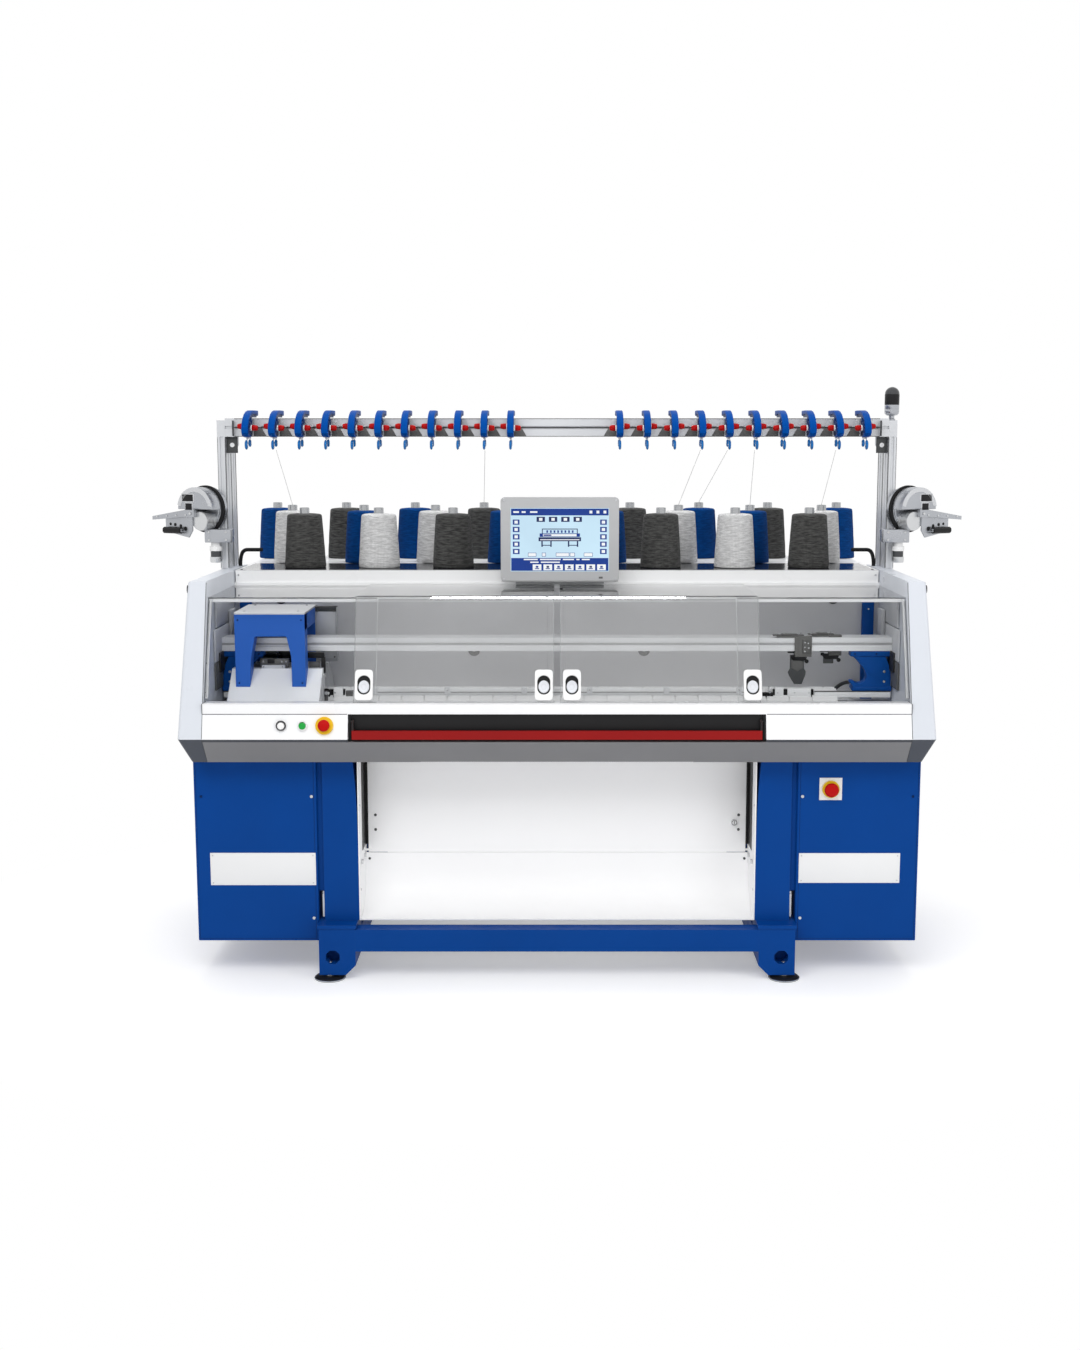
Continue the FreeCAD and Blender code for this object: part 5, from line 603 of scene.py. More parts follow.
def build_feed_units():
    """Discs with a grooved belt, windowed hoods, drums, brackets and cans, and what sits on the levers."""
    units = Piece("side_feed_units")
    drum = [(0, 0)]
    for groove in range(7):
        start = 0.002 + groove * 0.0078
        drum += [(0.034, start), (0.034, start + 0.0055), (0.0328, start + 0.0062)]
    drum += [(0.0335, 0.0565), (0.028, 0.057), (0, 0.057)]
    for side in (-1, 1):
        own = feed_unit_place(side)
        disc = own @ FORWARD.to_4x4()
        units.lathe([(0, -0.02), (0.076, -0.02), (0.081, -0.017), (0.081, -0.003), (0.078, 0.0), (0, 0)],
                    cast_silver, disc, 64)
        units.lathe([(0, 0), (0.085, 0), (0.086, 0.002), (0.083, 0.004), (0.083, 0.008), (0.086, 0.01),
                     (0.085, 0.012), (0, 0.012)], rubber, disc, 64)
        units.lathe([(0, 0.012), (0.074, 0.012), (0.074, 0.0128), (0.066, 0.0128), (0.064, 0.0145),
                     (0, 0.0145)], cast_silver, disc, 64)
        units.plate(arc(0.0805, -0.0125, range(0, 181, 9)), (0, -0.057, 0), cast_silver, own, round_off=0.006)
        units.plate(arc(0.0805, -0.0695, range(8, 173, 8)) + arc(0.064, -0.0695, range(172, 7, -8)),
                    (0, -0.0007, 0), light_grey, own)
        for x0, z0, x1, z1 in ((0.004, 0.028, 0.058, 0.056), (0.01, -0.004, 0.044, 0.024)):
            units.box((side * x0, -0.0702, z0), (side * x1, -0.06, z1), black, 0.002, own)
            units.box((side * (x0 - 0.0015), -0.0701, z0 - 0.0015),
                      (side * (x1 + 0.0015), -0.069, z1 + 0.0015), light_grey, 0.001, own)
        units.lathe(drum, zinc, own @ at(-side * 0.022, -0.012, -0.042, FORWARD), 48)
        units.lathe([(0, 0), (0.015, 0), (0.015, 0.0575), (0.005, 0.058), (0.005, 0.0755), (0.0042, 0.0768),
                     (0, 0.0768)], zinc, own @ at(side * 0.008, -0.012, -0.014, FORWARD), 28)
        units.box((side * 1.188, -0.06, 1.48), (side * FEED_UNIT, 0.0, 1.528), cast_silver, 0.003)
        can = at(side * 1.25, -0.03, 0)
        units.lathe([(0, 1.48), (0.017, 1.48), (0.017, 1.466), (0.0215, 1.465), (0.022, 1.462),
                     (0.022, 1.449), (0.0205, 1.448), (0, 1.448)], white_plastic, can, 36)
        units.lathe(puck(0.0195, 1.448, 1.427), smoked, can, 36)
        units.lathe([(0, 1.427), (0.022, 1.427), (0.022, 1.41), (0.02, 1.406), (0, 1.406)], zinc, can, 36)
        screw(units, ((side * 1.206, side * 1.268), -0.06, (1.518, 1.49)), FRONT, 0.0045)
    units.done(slot="silver_paint", replaces=["feed_units"])
    for name, side in (("left", -1), ("right", 1)):
        own = feed_unit_place(side)
        extra = Piece(f"feed_lever_fittings_{name}")
        for x, z, radius in ((0.04, -0.07, 0.008), (0.062, -0.06, 0.006), (0.088, -0.056, 0.006),
                             (0.11, -0.054, 0.005)):
            extra.lathe([(0, 0), (radius, 0), (radius, 0.0004), (radius * 0.9, 0.0005), (0, 0.0005)], black,
                        own @ at(side * x, -0.0752, z, FORWARD), 24)
        for x in (0.03, 0.075, 0.12, 0.165):
            extra.lathe([(0, 0), (0.0035, 0), (0.0035, 0.002), (0.0025, 0.0028), (0, 0.0028)], zinc,
                        own @ at(side * x, -0.0842, -0.018 - x * 0.06, FORWARD), 18)
        extra.done(f"lever_{name}", slot="zinc_steel")


# ---------------------------------------------------------------- monitor

def build_monitor():
    """Bezel and a generic control page: bars, icon tiles and a plain drawing of the machine."""
    page = Piece("control_page")
    left, right, foot, head, face = -0.166, 0.186, 1.384, 1.61, -0.1664
    middle = (left + right) / 2

    def tile(x, z, width, height, look, lift=0.0001):
        page.box((x, face - lift, z), (x + width, face + 0.0002 - lift, z + height), look, 0.0)

    tile(left + 0.002, head - 0.026, 0.348, 0.024, screen_blue)
    tile(left + 0.002, foot + 0.002, 0.348, 0.046, screen_blue)
    for i in range(7):
        x = left + 0.079 + i * 0.0385
        tile(x, foot + 0.004, 0.031, 0.021, screen_white, 0.0003)
        tile(x + 0.008, foot + 0.008, 0.015, 0.0035, screen_blue, 0.0005)
        tile(x + 0.011, foot + 0.013, 0.009, 0.007, screen_navy if i % 2 else screen_blue, 0.0005)
    for z, x0, widths in ((0.0405, 0.047, (0.05, 0.074, 0.04, 0.012, 0.028)), (0.0305, 0.07, (0.03, 0.068))):
        x = left + x0
        for width in widths:
            tile(x, foot + z, width, 0.0045, screen_white, 0.0003)
            x += width + 0.008
    for i, width in enumerate((0.03, 0.014, 0.048, 0.018, 0.032)):
        x = left + 0.062 + i * 0.05
        tile(x, foot + 0.053, width, 0.014, screen_blue, 0.0002)
        tile(x + 0.0015, foot + 0.0545, width - 0.003, 0.011, screen_white, 0.0004)
    for x, i in product((left + 0.008, right - 0.032), range(5)):
        z = foot + 0.062 + i * 0.0262
        tile(x, z, 0.024, 0.0185, screen_blue, 0.0003)
        tile(x + 0.006, z + 0.004, 0.012, 0.0105, screen_white, 0.0005)
    for i in range(4):
        x = left + 0.093 + i * 0.044
        tile(x, head - 0.049, 0.03, 0.018, screen_navy, 0.0003)
        tile(x + 0.009, head - 0.045, 0.012, 0.01, screen_white, 0.0005)
    for x, width in ((0.01, 0.02), (0.04, 0.014), (0.07, 0.026)):
        tile(left + x, head - 0.017, width, 0.006, screen_white, 0.0003)
    for x in (0.07, 0.045, 0.02):
        tile(right - x, head - 0.019, 0.01, 0.01, screen_white, 0.0003)
    for x, z, width, height, look, lift in (
            (-0.076, 0.108, 0.152, 0.014, screen_navy, 0.0005),
            (-0.07, 0.112, 0.14, 0.003, screen_white, 0.0007),
            (-0.072, 0.1235, 0.144, 0.0125, screen_blue, 0.0004),
            (-0.06, 0.1255, 0.12, 0.008, screen_white, 0.0006),
            (-0.058, 0.127, 0.028, 0.005, screen_blue, 0.0008),
            (-0.064, 0.15, 0.128, 0.003, screen_navy, 0.0005),
            (-0.064, 0.136, 0.003, 0.014, screen_navy, 0.0005),
            (0.061, 0.136, 0.003, 0.014, screen_navy, 0.0005),
            (-0.066, 0.092, 0.037, 0.003, screen_navy, 0.0005),
            (0.029, 0.092, 0.037, 0.003, screen_navy, 0.0005)):
        tile(middle + x, foot + z, width, height, look, lift)
    for i in range(8):
        tile(middle - 0.048 + i * 0.013, foot + 0.138, 0.006, 0.009, screen_blue, 0.0005)
    for x in (-0.066, -0.034, 0.029, 0.061):
        tile(middle + x, foot + 0.088, 0.005, 0.02, screen_navy, 0.0005)
    page.done("monitor", slot="screen")
    trim = Piece("monitor_trim")
    trim.box((-0.1995, -0.1656, 1.348), (0.2195, -0.165, 1.35), gunmetal, 0.0002)
    trim.box((0.15, -0.1662, 1.358), (0.164, -0.1648, 1.365), gunmetal, 0.001)
    screw(trim, ((-0.19, 0.21), -0.165, (1.357, 1.637)), FRONT, 0.003, light_grey)
    trim.box((-0.15, -0.1255, 1.395), (0.17, -0.1242, 1.415), gunmetal, 0.0005)
    for i in range(9):
        trim.box((-0.14 + i * 0.034, -0.1256, 1.43), (-0.118 + i * 0.034, -0.124, 1.434), black, 0.0005)
    trim.done("monitor", slot="grey_plastic")


# ---------------------------------------------------------------- body

def lean_box(piece, x, z, material):
    """A thin form that lies on the leaning front between two heights."""
    height = (z[1] - z[0]) / math.cos(FRONT_LEAN)
    place = at((x[0] + x[1]) / 2, panel_y((z[0] + z[1]) / 2), (z[0] + z[1]) / 2, LEANING_FRONT)
    half = (x[1] - x[0]) / 2
    piece.box((-half, -0.0006, -height / 2), (half, 0.0008, height / 2), material, 0.0003, place)


def build_front():
    """Seams, cover caps, screws and the light strip of the front."""
    seams = Piece("front_seams")
    chamfer = Matrix.Rotation(math.atan((685 - 606) / (868 - 776)), 3, "X")
    for side in (-1, 1):
        lean_box(seams, (side * 0.6975, side * 1.1795), (0.948, 0.9502), seam)
        for heights in ((0.869, 0.983), (0.986, 1.376)):
            lean_box(seams, (side * 1.1785, side * 1.1802), heights, seam)
        seams.box((-0.0009, -0.0006, -0.058), (0.0009, 0.001, 0.058), seam, 0.0002,
                  at(side * 1.1793, -0.6455, 0.822, chamfer))
        seams.box((side * 1.1788, -0.663, 0.9495), (side * 1.1806, -0.6, 0.9838), seam, 0.0003)
    seams.box((-1.178, -0.0552, 1.3775), (1.178, -0.0546, 1.3785), light_grey, 0.0002)
    screw(seams, ((-1.165, 1.165), -0.055, 1.362), FRONT, 0.0035)
    seams.done(slot="dark_metal")
    strip = Piece("inner_light_strip")
    strip.box((-0.425, -0.512, 1.3215), (0.435, -0.5, 1.3245), strip_light, 0.0008)
    strip.box((-0.605, -0.5115, 1.3178), (0.605, -0.5, 1.3217), aluminium, 0.0005)
    strip.done(slot="white_plastic")
    post = Piece("window_posts")
    for side in (-1, 1):
        middle = at(side * 1.1735, -0.5625, 1.156, LEANING_PANE)
        post.box((-0.0055, 0.0, -0.17), (0.0055, 0.012, 0.17), aluminium, 0.002, middle)
        post.box((-0.0012, -0.0012, -0.17), (0.0012, 0.001, 0.17), white, 0.0004, middle)
        for z in (-0.15, -0.05, 0.05, 0.15):
            screw(post, middle @ Vector((0.0035 * side, 0, z)), (0, -1, 0.35), 0.0018)
    post.done(slot="aluminium")


def build_pane_edges():
    """Polished edges of the clear sheets, which catch the light."""
    for name, body, places, depth, look, half_width in (
            ("left_cover_edges", "left_cover", (-0.6788, -0.0112), 0.0, pane_rim, 0.0006),
            ("right_cover_edges", "right_cover", (0.6788, 0.0112), 0.0, pane_rim, 0.0006),
            ("end_window_edges", "machine", (-0.6062, 0.6062), 0.006, pane_edge, 0.0012)):
        piece = Piece(name)
        middle, reach = 1.1565 - depth / 2, (0.1715 - depth / 2) / math.cos(PANE_LEAN)
        y = -PANE_HEAD[0] - (PANE_HEAD[1] - middle) * math.tan(PANE_LEAN)
        y += (0.0025 + depth) / math.cos(PANE_LEAN)
        for x in places:
            piece.box((-half_width, -0.0025, -reach), (half_width, 0.0025, reach), look, half_width / 3,
                      at(x, y, middle, LEANING_PANE))
            piece.box((x - half_width, -0.505, 1.3252 - depth), (x + half_width, -0.072, 1.3299 - depth),
                      look, half_width / 3)
        piece.done(body, slot="clear_plastic")


def build_cabinets():
    """Door seams, screws, bare plates and vents of the two blue cabinets."""
    trim = Piece("cabinet_trim")
    plates = Piece("cabinet_plates")
    for side in (-1, 1):
        inner, outer = side * 0.838, side * 1.243
        for z in (0.131, 0.7615):
            trim.box((inner, CABINET_FRONT - 0.0006, z), (outer, CABINET_FRONT + 0.0004, z + 0.0012), navy,
                     0.0002)
        for edge in (side * 0.8375, side * 1.2425):
            trim.box((edge - 0.0006, CABINET_FRONT - 0.0006, 0.131),
                     (edge + 0.0006, CABINET_FRONT + 0.0004, 0.7625), navy, 0.0002)
        screw(trim, (side * 0.845, CABINET_FRONT, (0.637, 0.205)), FRONT, 0.0055)
        screw(trim, (side * 1.225, CABINET_FRONT, 0.637), FRONT, 0.0045, navy)
        screw(trim, (side * CABINET_SIDE, (-0.48, 0.36), (0.16, 0.73)), (side, 0, 0), 0.005)
        for row in range(9):
            z = 0.3 + row * 0.022
            trim.box((side * 1.2506 - 0.0006, -0.18, z), (side * 1.2506 + 0.0004, 0.12, z + 0.007), navy,
                     0.0003)
        for z in (0.15, 0.75):
            trim.box((inner, CABINET_BACK - 0.0004, z), (outer, CABINET_BACK + 0.0006, z + 0.001), navy,
                     0.0002)
        for vent in range(8):
            z = 0.5 + vent * 0.02
            trim.box((side * 1.04 - 0.1, CABINET_BACK - 0.0004, z),
                     (side * 1.04 + 0.1, CABINET_BACK + 0.0012, z + 0.006), black, 0.0004)
    for x0, x1, z0, z1 in ((-1.2, -0.835, 0.323, 0.438), (0.837, 1.187, 0.331, 0.437)):
        plates.box((x0, -0.517, z0), (x1, -0.5149, z1), plate_white, 0.0008)
        plates.box((x0 + 0.004, -0.5174, z0 + 0.004), (x1 - 0.004, -0.5168, z1 - 0.004), plate_white, 0.0003)
        screw(plates, ((x0 + 0.009, x1 - 0.009), -0.5172, (z0 + 0.009, z1 - 0.009)), FRONT, 0.0022,
              light_grey)
    trim.done(slot="blue_paint")
    plates.done(slot="white_paint")


def build_legs():
    """Bolts of the flanges, trim of the legs, a black strip behind them as painted shade in the gap, and the
    levelling feet.
    """
    bolts = Piece("stand_bolts")
    feet = Piece("feet_pads")
    for side in (-1, 1):
        for x in (0.715, 0.8):
            bolts.lathe([(0, 0.1965), (0.01, 0.1965), (0.01, 0.203), (0.008, 0.2045), (0, 0.2045)], zinc,
                        at(side * x, 0.49, 0), 6)
        for (x0, y0, z0), (x1, y1, z1), look, round_off in (
                ((0.694, -0.5757, 0.1915), (0.818, -0.5743, 0.194), blue_bow, 0.0003),
                # painted shade: the black strip stands for the dark gap beside each leg
                ((0.7975, -0.496, 0.33), (0.829, -0.492, 0.768), black, 0.001),
                ((0.8062, -0.5015, 0.3), (0.8305, -0.496, 0.766), blue, 0.001),
                ((0.808, -0.5, 0.205), (0.8165, -0.496, 0.288), plate_white, 0.0008)):
            bolts.box((side * x0, y0, z0), (side * x1, y1, z1), look, round_off)
        screw(bolts, (side * 0.812, -0.502, 0.294), FRONT)
        for y in (-0.55, 0.485):
            place = at(side * 0.788, y, 0)
            feet.lathe([(0, 0), (0.0535, 0), (0.0548, 0.0015), (0.0548, 0.0055), (0.053, 0.0065)], core_metal,
                       place, 48)
            feet.lathe([(0.053, 0.0065), (0.05, 0.0095), (0.044, 0.0112), (0.02, 0.012), (0, 0.012)],
                       black, place, 48)
            feet.lathe([(0, 0.012), (0.0138, 0.012), (0.0138, 0.0185), (0, 0.0187)], zinc, place, 6)
            feet.lathe([(0, 0.018), (0.0078, 0.018), (0.0078, 0.058), (0.0065, 0.0605), (0, 0.0605)], zinc,
                       place, 24)
    bolts.done(slot="zinc_steel")
    feet.done(slot="zinc_steel", replaces=["levelling_feet"])


def build_lower():
    """Black strips as painted shade in the gaps beside the flap, hinge blocks and screws beside it, its lip
    and the face of its latch.
    """
    trim = Piece("lower_trim")
    flap = Piece("flap_trim")
    for side in (-1, 1):
        # painted shade: black strips fill the gap between each cheek and the flap
        trim.box((side * 0.682, -0.43, 0.424), (side * 0.6834, -0.336, 0.768), black, 0.0003)
        trim.box((side * 0.6722, -0.3365, 0.424), (side * 0.6834, -0.333, 0.768), black, 0.0003)
        screw(trim, (side * 0.669, -0.341, 0.372), FRONT, 0.0045, nose_grey)
        screw(trim, (side * 0.6835, -0.49, (0.3, 0.6)), (-side, 0, 0))
        for y in (-0.37, -0.46):
            trim.box((side * 0.68 - 0.0035, y - 0.006, 0.385), (side * 0.68 + 0.0035, y + 0.006, 0.4), zinc)
        screw(flap, (side * 0.646, -0.341, (0.531, 0.478)), FRONT, 0.005, nose_grey)
    trim.box((-0.46, -0.607, 0.7762), (0.46, -0.6045, 0.7785), white, 0.0004)
    trim.done(slot="white_paint")
    flap.box((-0.665, -0.3425, 0.76), (0.665, -0.34, 0.767), white, 0.0015)
    flap.done("lower_flap", slot="white_paint")
    latch = Piece("latch_face")
    latch.lathe([(0.0075, 0), (0.0095, 0), (0.0095, 0.0006), (0.0075, 0.0006)], black,
                at(0.63, -0.353, 0.505, facing(FRONT)), 28, closed=True)
    latch.box((-0.0012, -0.0007, -0.006), (0.0012, 0.0001, 0.006), black, 0.0002, at(0.63, -0.353, 0.505))
    latch.done("flap_catch", slot="zinc_steel")


def build_bed_fittings():
    """The strip over the throat, clips, blocks, ledges and pulleys in front of and below the needle beds."""
    parts = Piece("bed_fittings")
    parts.box((-0.7, -0.345, 0.96), (0.7, -0.339, 0.988), aluminium)
    parts.box((-0.7, -0.3462, 0.972), (0.7, -0.3448, 0.975), gunmetal, 0.0003)
    clips = (-0.64, -0.385, -0.115, -0.035, 0.035, 0.115, 0.385, 0.64)
    for x in clips:
        parts.box((x - 0.01, -0.3485, 0.966), (x + 0.01, -0.338, 0.992), light_grey, 0.0015)
    screw(parts, (clips, -0.3474, 0.981), FRONT, 0.0035)
    for x0, x1, z1, look in ((0.766, 0.796, 0.99, plate_white), (0.81, 0.892, 0.987, plate_white),
                             (0.722, 0.76, 0.972, black), (0.744, 0.752, 0.994, zinc),
                             (-0.785, -0.752, 0.988, plate_white), (-0.742, -0.718, 0.978, gunmetal),
                             (0.905, 1.172, 0.9745, plate_white), (-1.172, -0.8, 0.9745, plate_white)):
        parts.box((x0, -0.348, 0.955), (x1, -0.325, z1), look, 0.0015)
    screw(parts, ((-0.78, 0.775, 0.835, 0.885), -0.347, 0.972), FRONT, 0.003)
    for x0, x1 in ((0.76, 0.902), (-0.8, -0.746)):
        parts.box((x0, -0.344, 0.955), (x1, -0.326, 0.983), black)
    for x0, x1 in ((0.905, 1.172), (-1.172, -0.8)):
        parts.box((x0, -0.3484, 0.9745), (x1, -0.33, 0.9765), gunmetal, 0.0003)
    for side in (-1, 1):
        pulley = at(side * 1.081, -0.062, 0.8955, FORWARD)
        parts.lathe([(0.068, 0), (0.076, 0), (0.078, 0.002), (0.075, 0.008), (0.078, 0.014), (0.076, 0.016),
                     (0.068, 0.016)], nose_grey, pulley, 56, closed=True)
        parts.lathe(puck(0.0685, 0.003, 0.013), white_plastic, pulley, 56)
        parts.lathe(puck(0.016, -0.004, 0.02), zinc, pulley, 28)
    parts.done(slot="aluminium")


def build_wall_fittings():
    """Round caps and screws of the rear wall, and the panels and blocks of the end walls."""
    wall = Piece("wall_fittings")
    for x, z in ((-0.305, 1.086), (0.32, 1.086), (1.011, 1.278), (-1.011, 1.278)):
        place = at(x, REAR_WALL, z, FORWARD)
        wall.lathe([(0, -0.001), (0.021, -0.001), (0.022, 0.001), (0.022, 0.004), (0.018, 0.006), (0, 0.006)],
                   gunmetal, place, 36)
        wall.lathe([(0, 0.005), (0.006, 0.005), (0.006, 0.009), (0.004, 0.01), (0, 0.01)], zinc, place, 20)
    for side in (-1, 1):
        for (x0, y0, z0), (x1, y1, z1), look, round_off in (
                ((1.173, -0.45, 0.995), (1.1785, -0.11, 1.09), feeder_grey, 0.002),
                ((1.173, -0.45, 1.094), (1.1785, -0.11, 1.205), light_grey, 0.002),
                ((1.173, -0.42, 1.209), (1.1785, -0.11, 1.3), light_grey, 0.002),
                ((1.1665, -0.4, 1.05), (1.1735, -0.25, 1.12), dark, 0.003),
                ((1.16, -0.22, 1.16), (1.172, -0.14, 1.25), light_grey, 0.002)):
            wall.box((side * x0, y0, z0), (side * x1, y1, z1), look, round_off)
        screw(wall, (side * 1.172, -0.42, 1.28), (-side, 0, 0))
        screw(wall, ((side * 0.3, side * 0.62, side * 0.95), REAR_WALL, 1.305), FRONT, 0.003)
    wall.done(slot="grey_paint")


def build_rear_trim():
    """Seams, screws and vents of the rear panel."""
    rear = Piece("rear_panel_trim")
    for x in (-0.59, 0.0, 0.59):
        rear.box((x - 0.0012, REAR_PANEL - 0.0006, 0.8), (x + 0.0012, REAR_PANEL + 0.0006, 1.315), seam,
                 0.0003)
    screw(rear, ((-1.15, -0.62, -0.56, -0.03, 0.03, 0.56, 0.62, 1.15), REAR_PANEL, (0.815, 1.06, 1.3)), BACK)
    for x, row in product((-0.885, 0.885), range(9)):
        z = 0.9 + row * 0.017
        rear.box((x - 0.095, REAR_PANEL - 0.0008, z), (x + 0.095, REAR_PANEL + 0.0012, z + 0.007), nose_grey)
    rear.done(slot="grey_paint")


# ---------------------------------------------------------------- controls, handles, carriage and feeders

def build_controls():
    """Crowned push buttons and the mushroom heads of the two stops."""
    out = Vector((0, -math.cos(FRONT_LEAN), math.sin(FRONT_LEAN)))
    height = 0.9105
    for color, x, look in (("white", -0.916, white_plastic), ("green", -0.845, green)):
        button = Piece(f"{color}_push_button")
        button.lathe([(0, 0), (0.0117, 0), (0.0119, 0.009), (0.0108, 0.0108), (0.0085, 0.0112), (0, 0.0106)],
                     look, at(x, panel_y(height), height, facing(out)), 40)
        button.done(f"{color}_button", slot=f"{color}_plastic", replaces=[f"button_{color}"])
    head = [(0, 0.0048), (0.0098, 0.0048), (0.01, 0.015), (0.0165, 0.0158), (0.0193, 0.0178), (0.02, 0.0208),
            (0.019, 0.0242), (0.016, 0.0268), (0.009, 0.028), (0, 0.0282)]
    stop = Piece("panel_stop_head")
    stop.lathe(head, red, at(-0.772, panel_y(height), height, facing(out)), 48)
    stop.done("panel_stop", slot="red_plastic", replaces=["estop_panel"])
    stop = Piece("cabinet_stop_head")
    wide = [(radius * 1.24, height) for radius, height in head]
    stop.lathe(wide, red, at(0.941, -0.518, 0.664, facing(FRONT)), 48)
    stop.done("cabinet_stop", slot="red_plastic", replaces=["estop_cabinet"])


HANDLES = (("left_outer", -0.645, "left_cover"), ("left_inner", -0.044, "left_cover"),
           ("right_inner", 0.05, "right_cover"), ("right_outer", 0.654, "right_cover"))


def build_handles():
    """Black sheets as painted shadow in the recesses of the cover handles, and the dished thumb discs."""
    out = Vector((0, -math.cos(PANE_LEAN), math.sin(PANE_LEAN)))
    up = Vector((0, math.sin(PANE_LEAN), math.cos(PANE_LEAN)))
    turn = Matrix((Vector((1, 0, 0)), up, out)).transposed().to_4x4()
    outline = [(x, y + (0.0112 if y > 0 else -0.0112), 0.0002) for x, y in circle(0.0216, 32)]
    for name, x, body in HANDLES:
        place = Matrix.Translation(Vector((x, -PANE_FOOT[0], PANE_FOOT[1])) + up * 0.06) @ turn
        # painted shadow: a black sheet lies in each handle recess
        recess_shade = Piece(f"handle_recess_shade_{name}")
        recess_shade.plate(outline, (0, 0, 0.0009), black, place)
        recess_shade.done(body, slot="black_plastic")
        disc = Piece(f"thumb_disc_{name}")
        oval = place @ at(0, -0.006, 0.0012) @ Matrix.Diagonal((0.9, 1.06, 1, 1))
        disc.lathe([(0, 0), (0.02, 0), (0.0205, 0.003), (0.0195, 0.0056), (0.0175, 0.0062), (0.015, 0.0052),
                    (0.008, 0.0042), (0, 0.004)], silver, oval, 44)
        disc.lathe([(0.008, 0.0041), (0.0088, 0.0046), (0.0096, 0.0044)], light_grey, oval, 44)
        disc.done(f"latch_{name}", slot="zinc_steel", replaces=[f"thumb_{name}"])


def build_rail_brackets():
    """C brackets with a lipped flange, a drawn-in waist and a bulging back, and the wall posts."""
    brackets = Piece("c_brackets")
    web = [(1.04, 0.9765), (1.176, 0.9765), (1.176, 0.996), (1.175, 1.024), (1.171, 1.05), (1.164, 1.074),
           (1.155, 1.094), (1.147, 1.106), (1.147, 1.119), (1.034, 1.119), (1.034, 1.108), (1.04, 1.098),
           (1.058, 1.082), (1.074, 1.062), (1.084, 1.046), (1.09, 1.026), (1.084, 1.012), (1.072, 1.005),
           (1.058, 1.003), (1.05, 1.006), (1.044, 1.012), (1.033, 1.012), (1.031, 1.006), (1.04, 0.996)]
    for side in (-1, 1):
        brackets.plate([(side * x, BRACKET_FRONT, z) for x, z in web], (0, 0.045, 0), blue_inside,
                       round_off=0.0025)
        brackets.box((side * 1.03, -0.34, 1.0985), (side * 1.171, -0.29, 1.1188), blue_inside, 0.003)
        brackets.box((side * 1.042, -0.3385, 0.977), (side * 1.177, -0.26, 0.99), blue_inside, 0.002)
        brackets.box((side * 1.116, -0.084, 0.832), (side * 1.158, -0.0605, 1.309), blue_inside, 0.003)
        screw(brackets, (side * 1.15, BRACKET_FRONT, (1.01, 1.045)), FRONT, 0.0045)
        screw(brackets, ((side * 1.045, side * 1.12), -0.34, 1.1085), FRONT, 0.003, navy)
        screw(brackets, (side * 1.137, -0.084, (1.24, 1.12, 0.98)), FRONT, 0.0035)
    brackets.done(slot="blue_paint", replaces=["rail_brackets"])


def build_bow():
    """The blue bow over the rails: front and rear walls with their arch, and the roof."""
    bow = Piece("arched_bow")
    left, right, foot, head = -1.107, -0.8655, 1.008, 1.259
    arch = [(-1.0577, foot), (-1.053, 1.104), (-1.0385, 1.179), (-1.035, 1.183), (-0.9318, 1.183),
            (-0.9283, 1.179), (-0.9142, 1.113), (-0.9131, foot)]
    outline = [(left, foot), (left, head), (right, head), (right, foot)] + arch[::-1]
    for y, thickness, lowest in ((-0.449, 0.056, foot), (-0.207, 0.042, 1.021)):
        bow.plate([(x, y, max(z, lowest)) for x, z in outline], (0, thickness, 0), blue_bow, round_off=0.0012,
                  smooth=False)
    bow.box((left, -0.448, 1.205), (right, -0.166, head), blue_bow)
    screw(bow, ((left + 0.012, right - 0.012), -0.449, (1.022, 1.24)), FRONT, 0.0028, navy)
    bow.box((-0.864, -0.2078, 1.2435), (-0.7895, -0.2066, 1.259), nose_grey, 0.0003)
    bow.done("carriage", slot="blue_paint", replaces=["carriage_bow"])


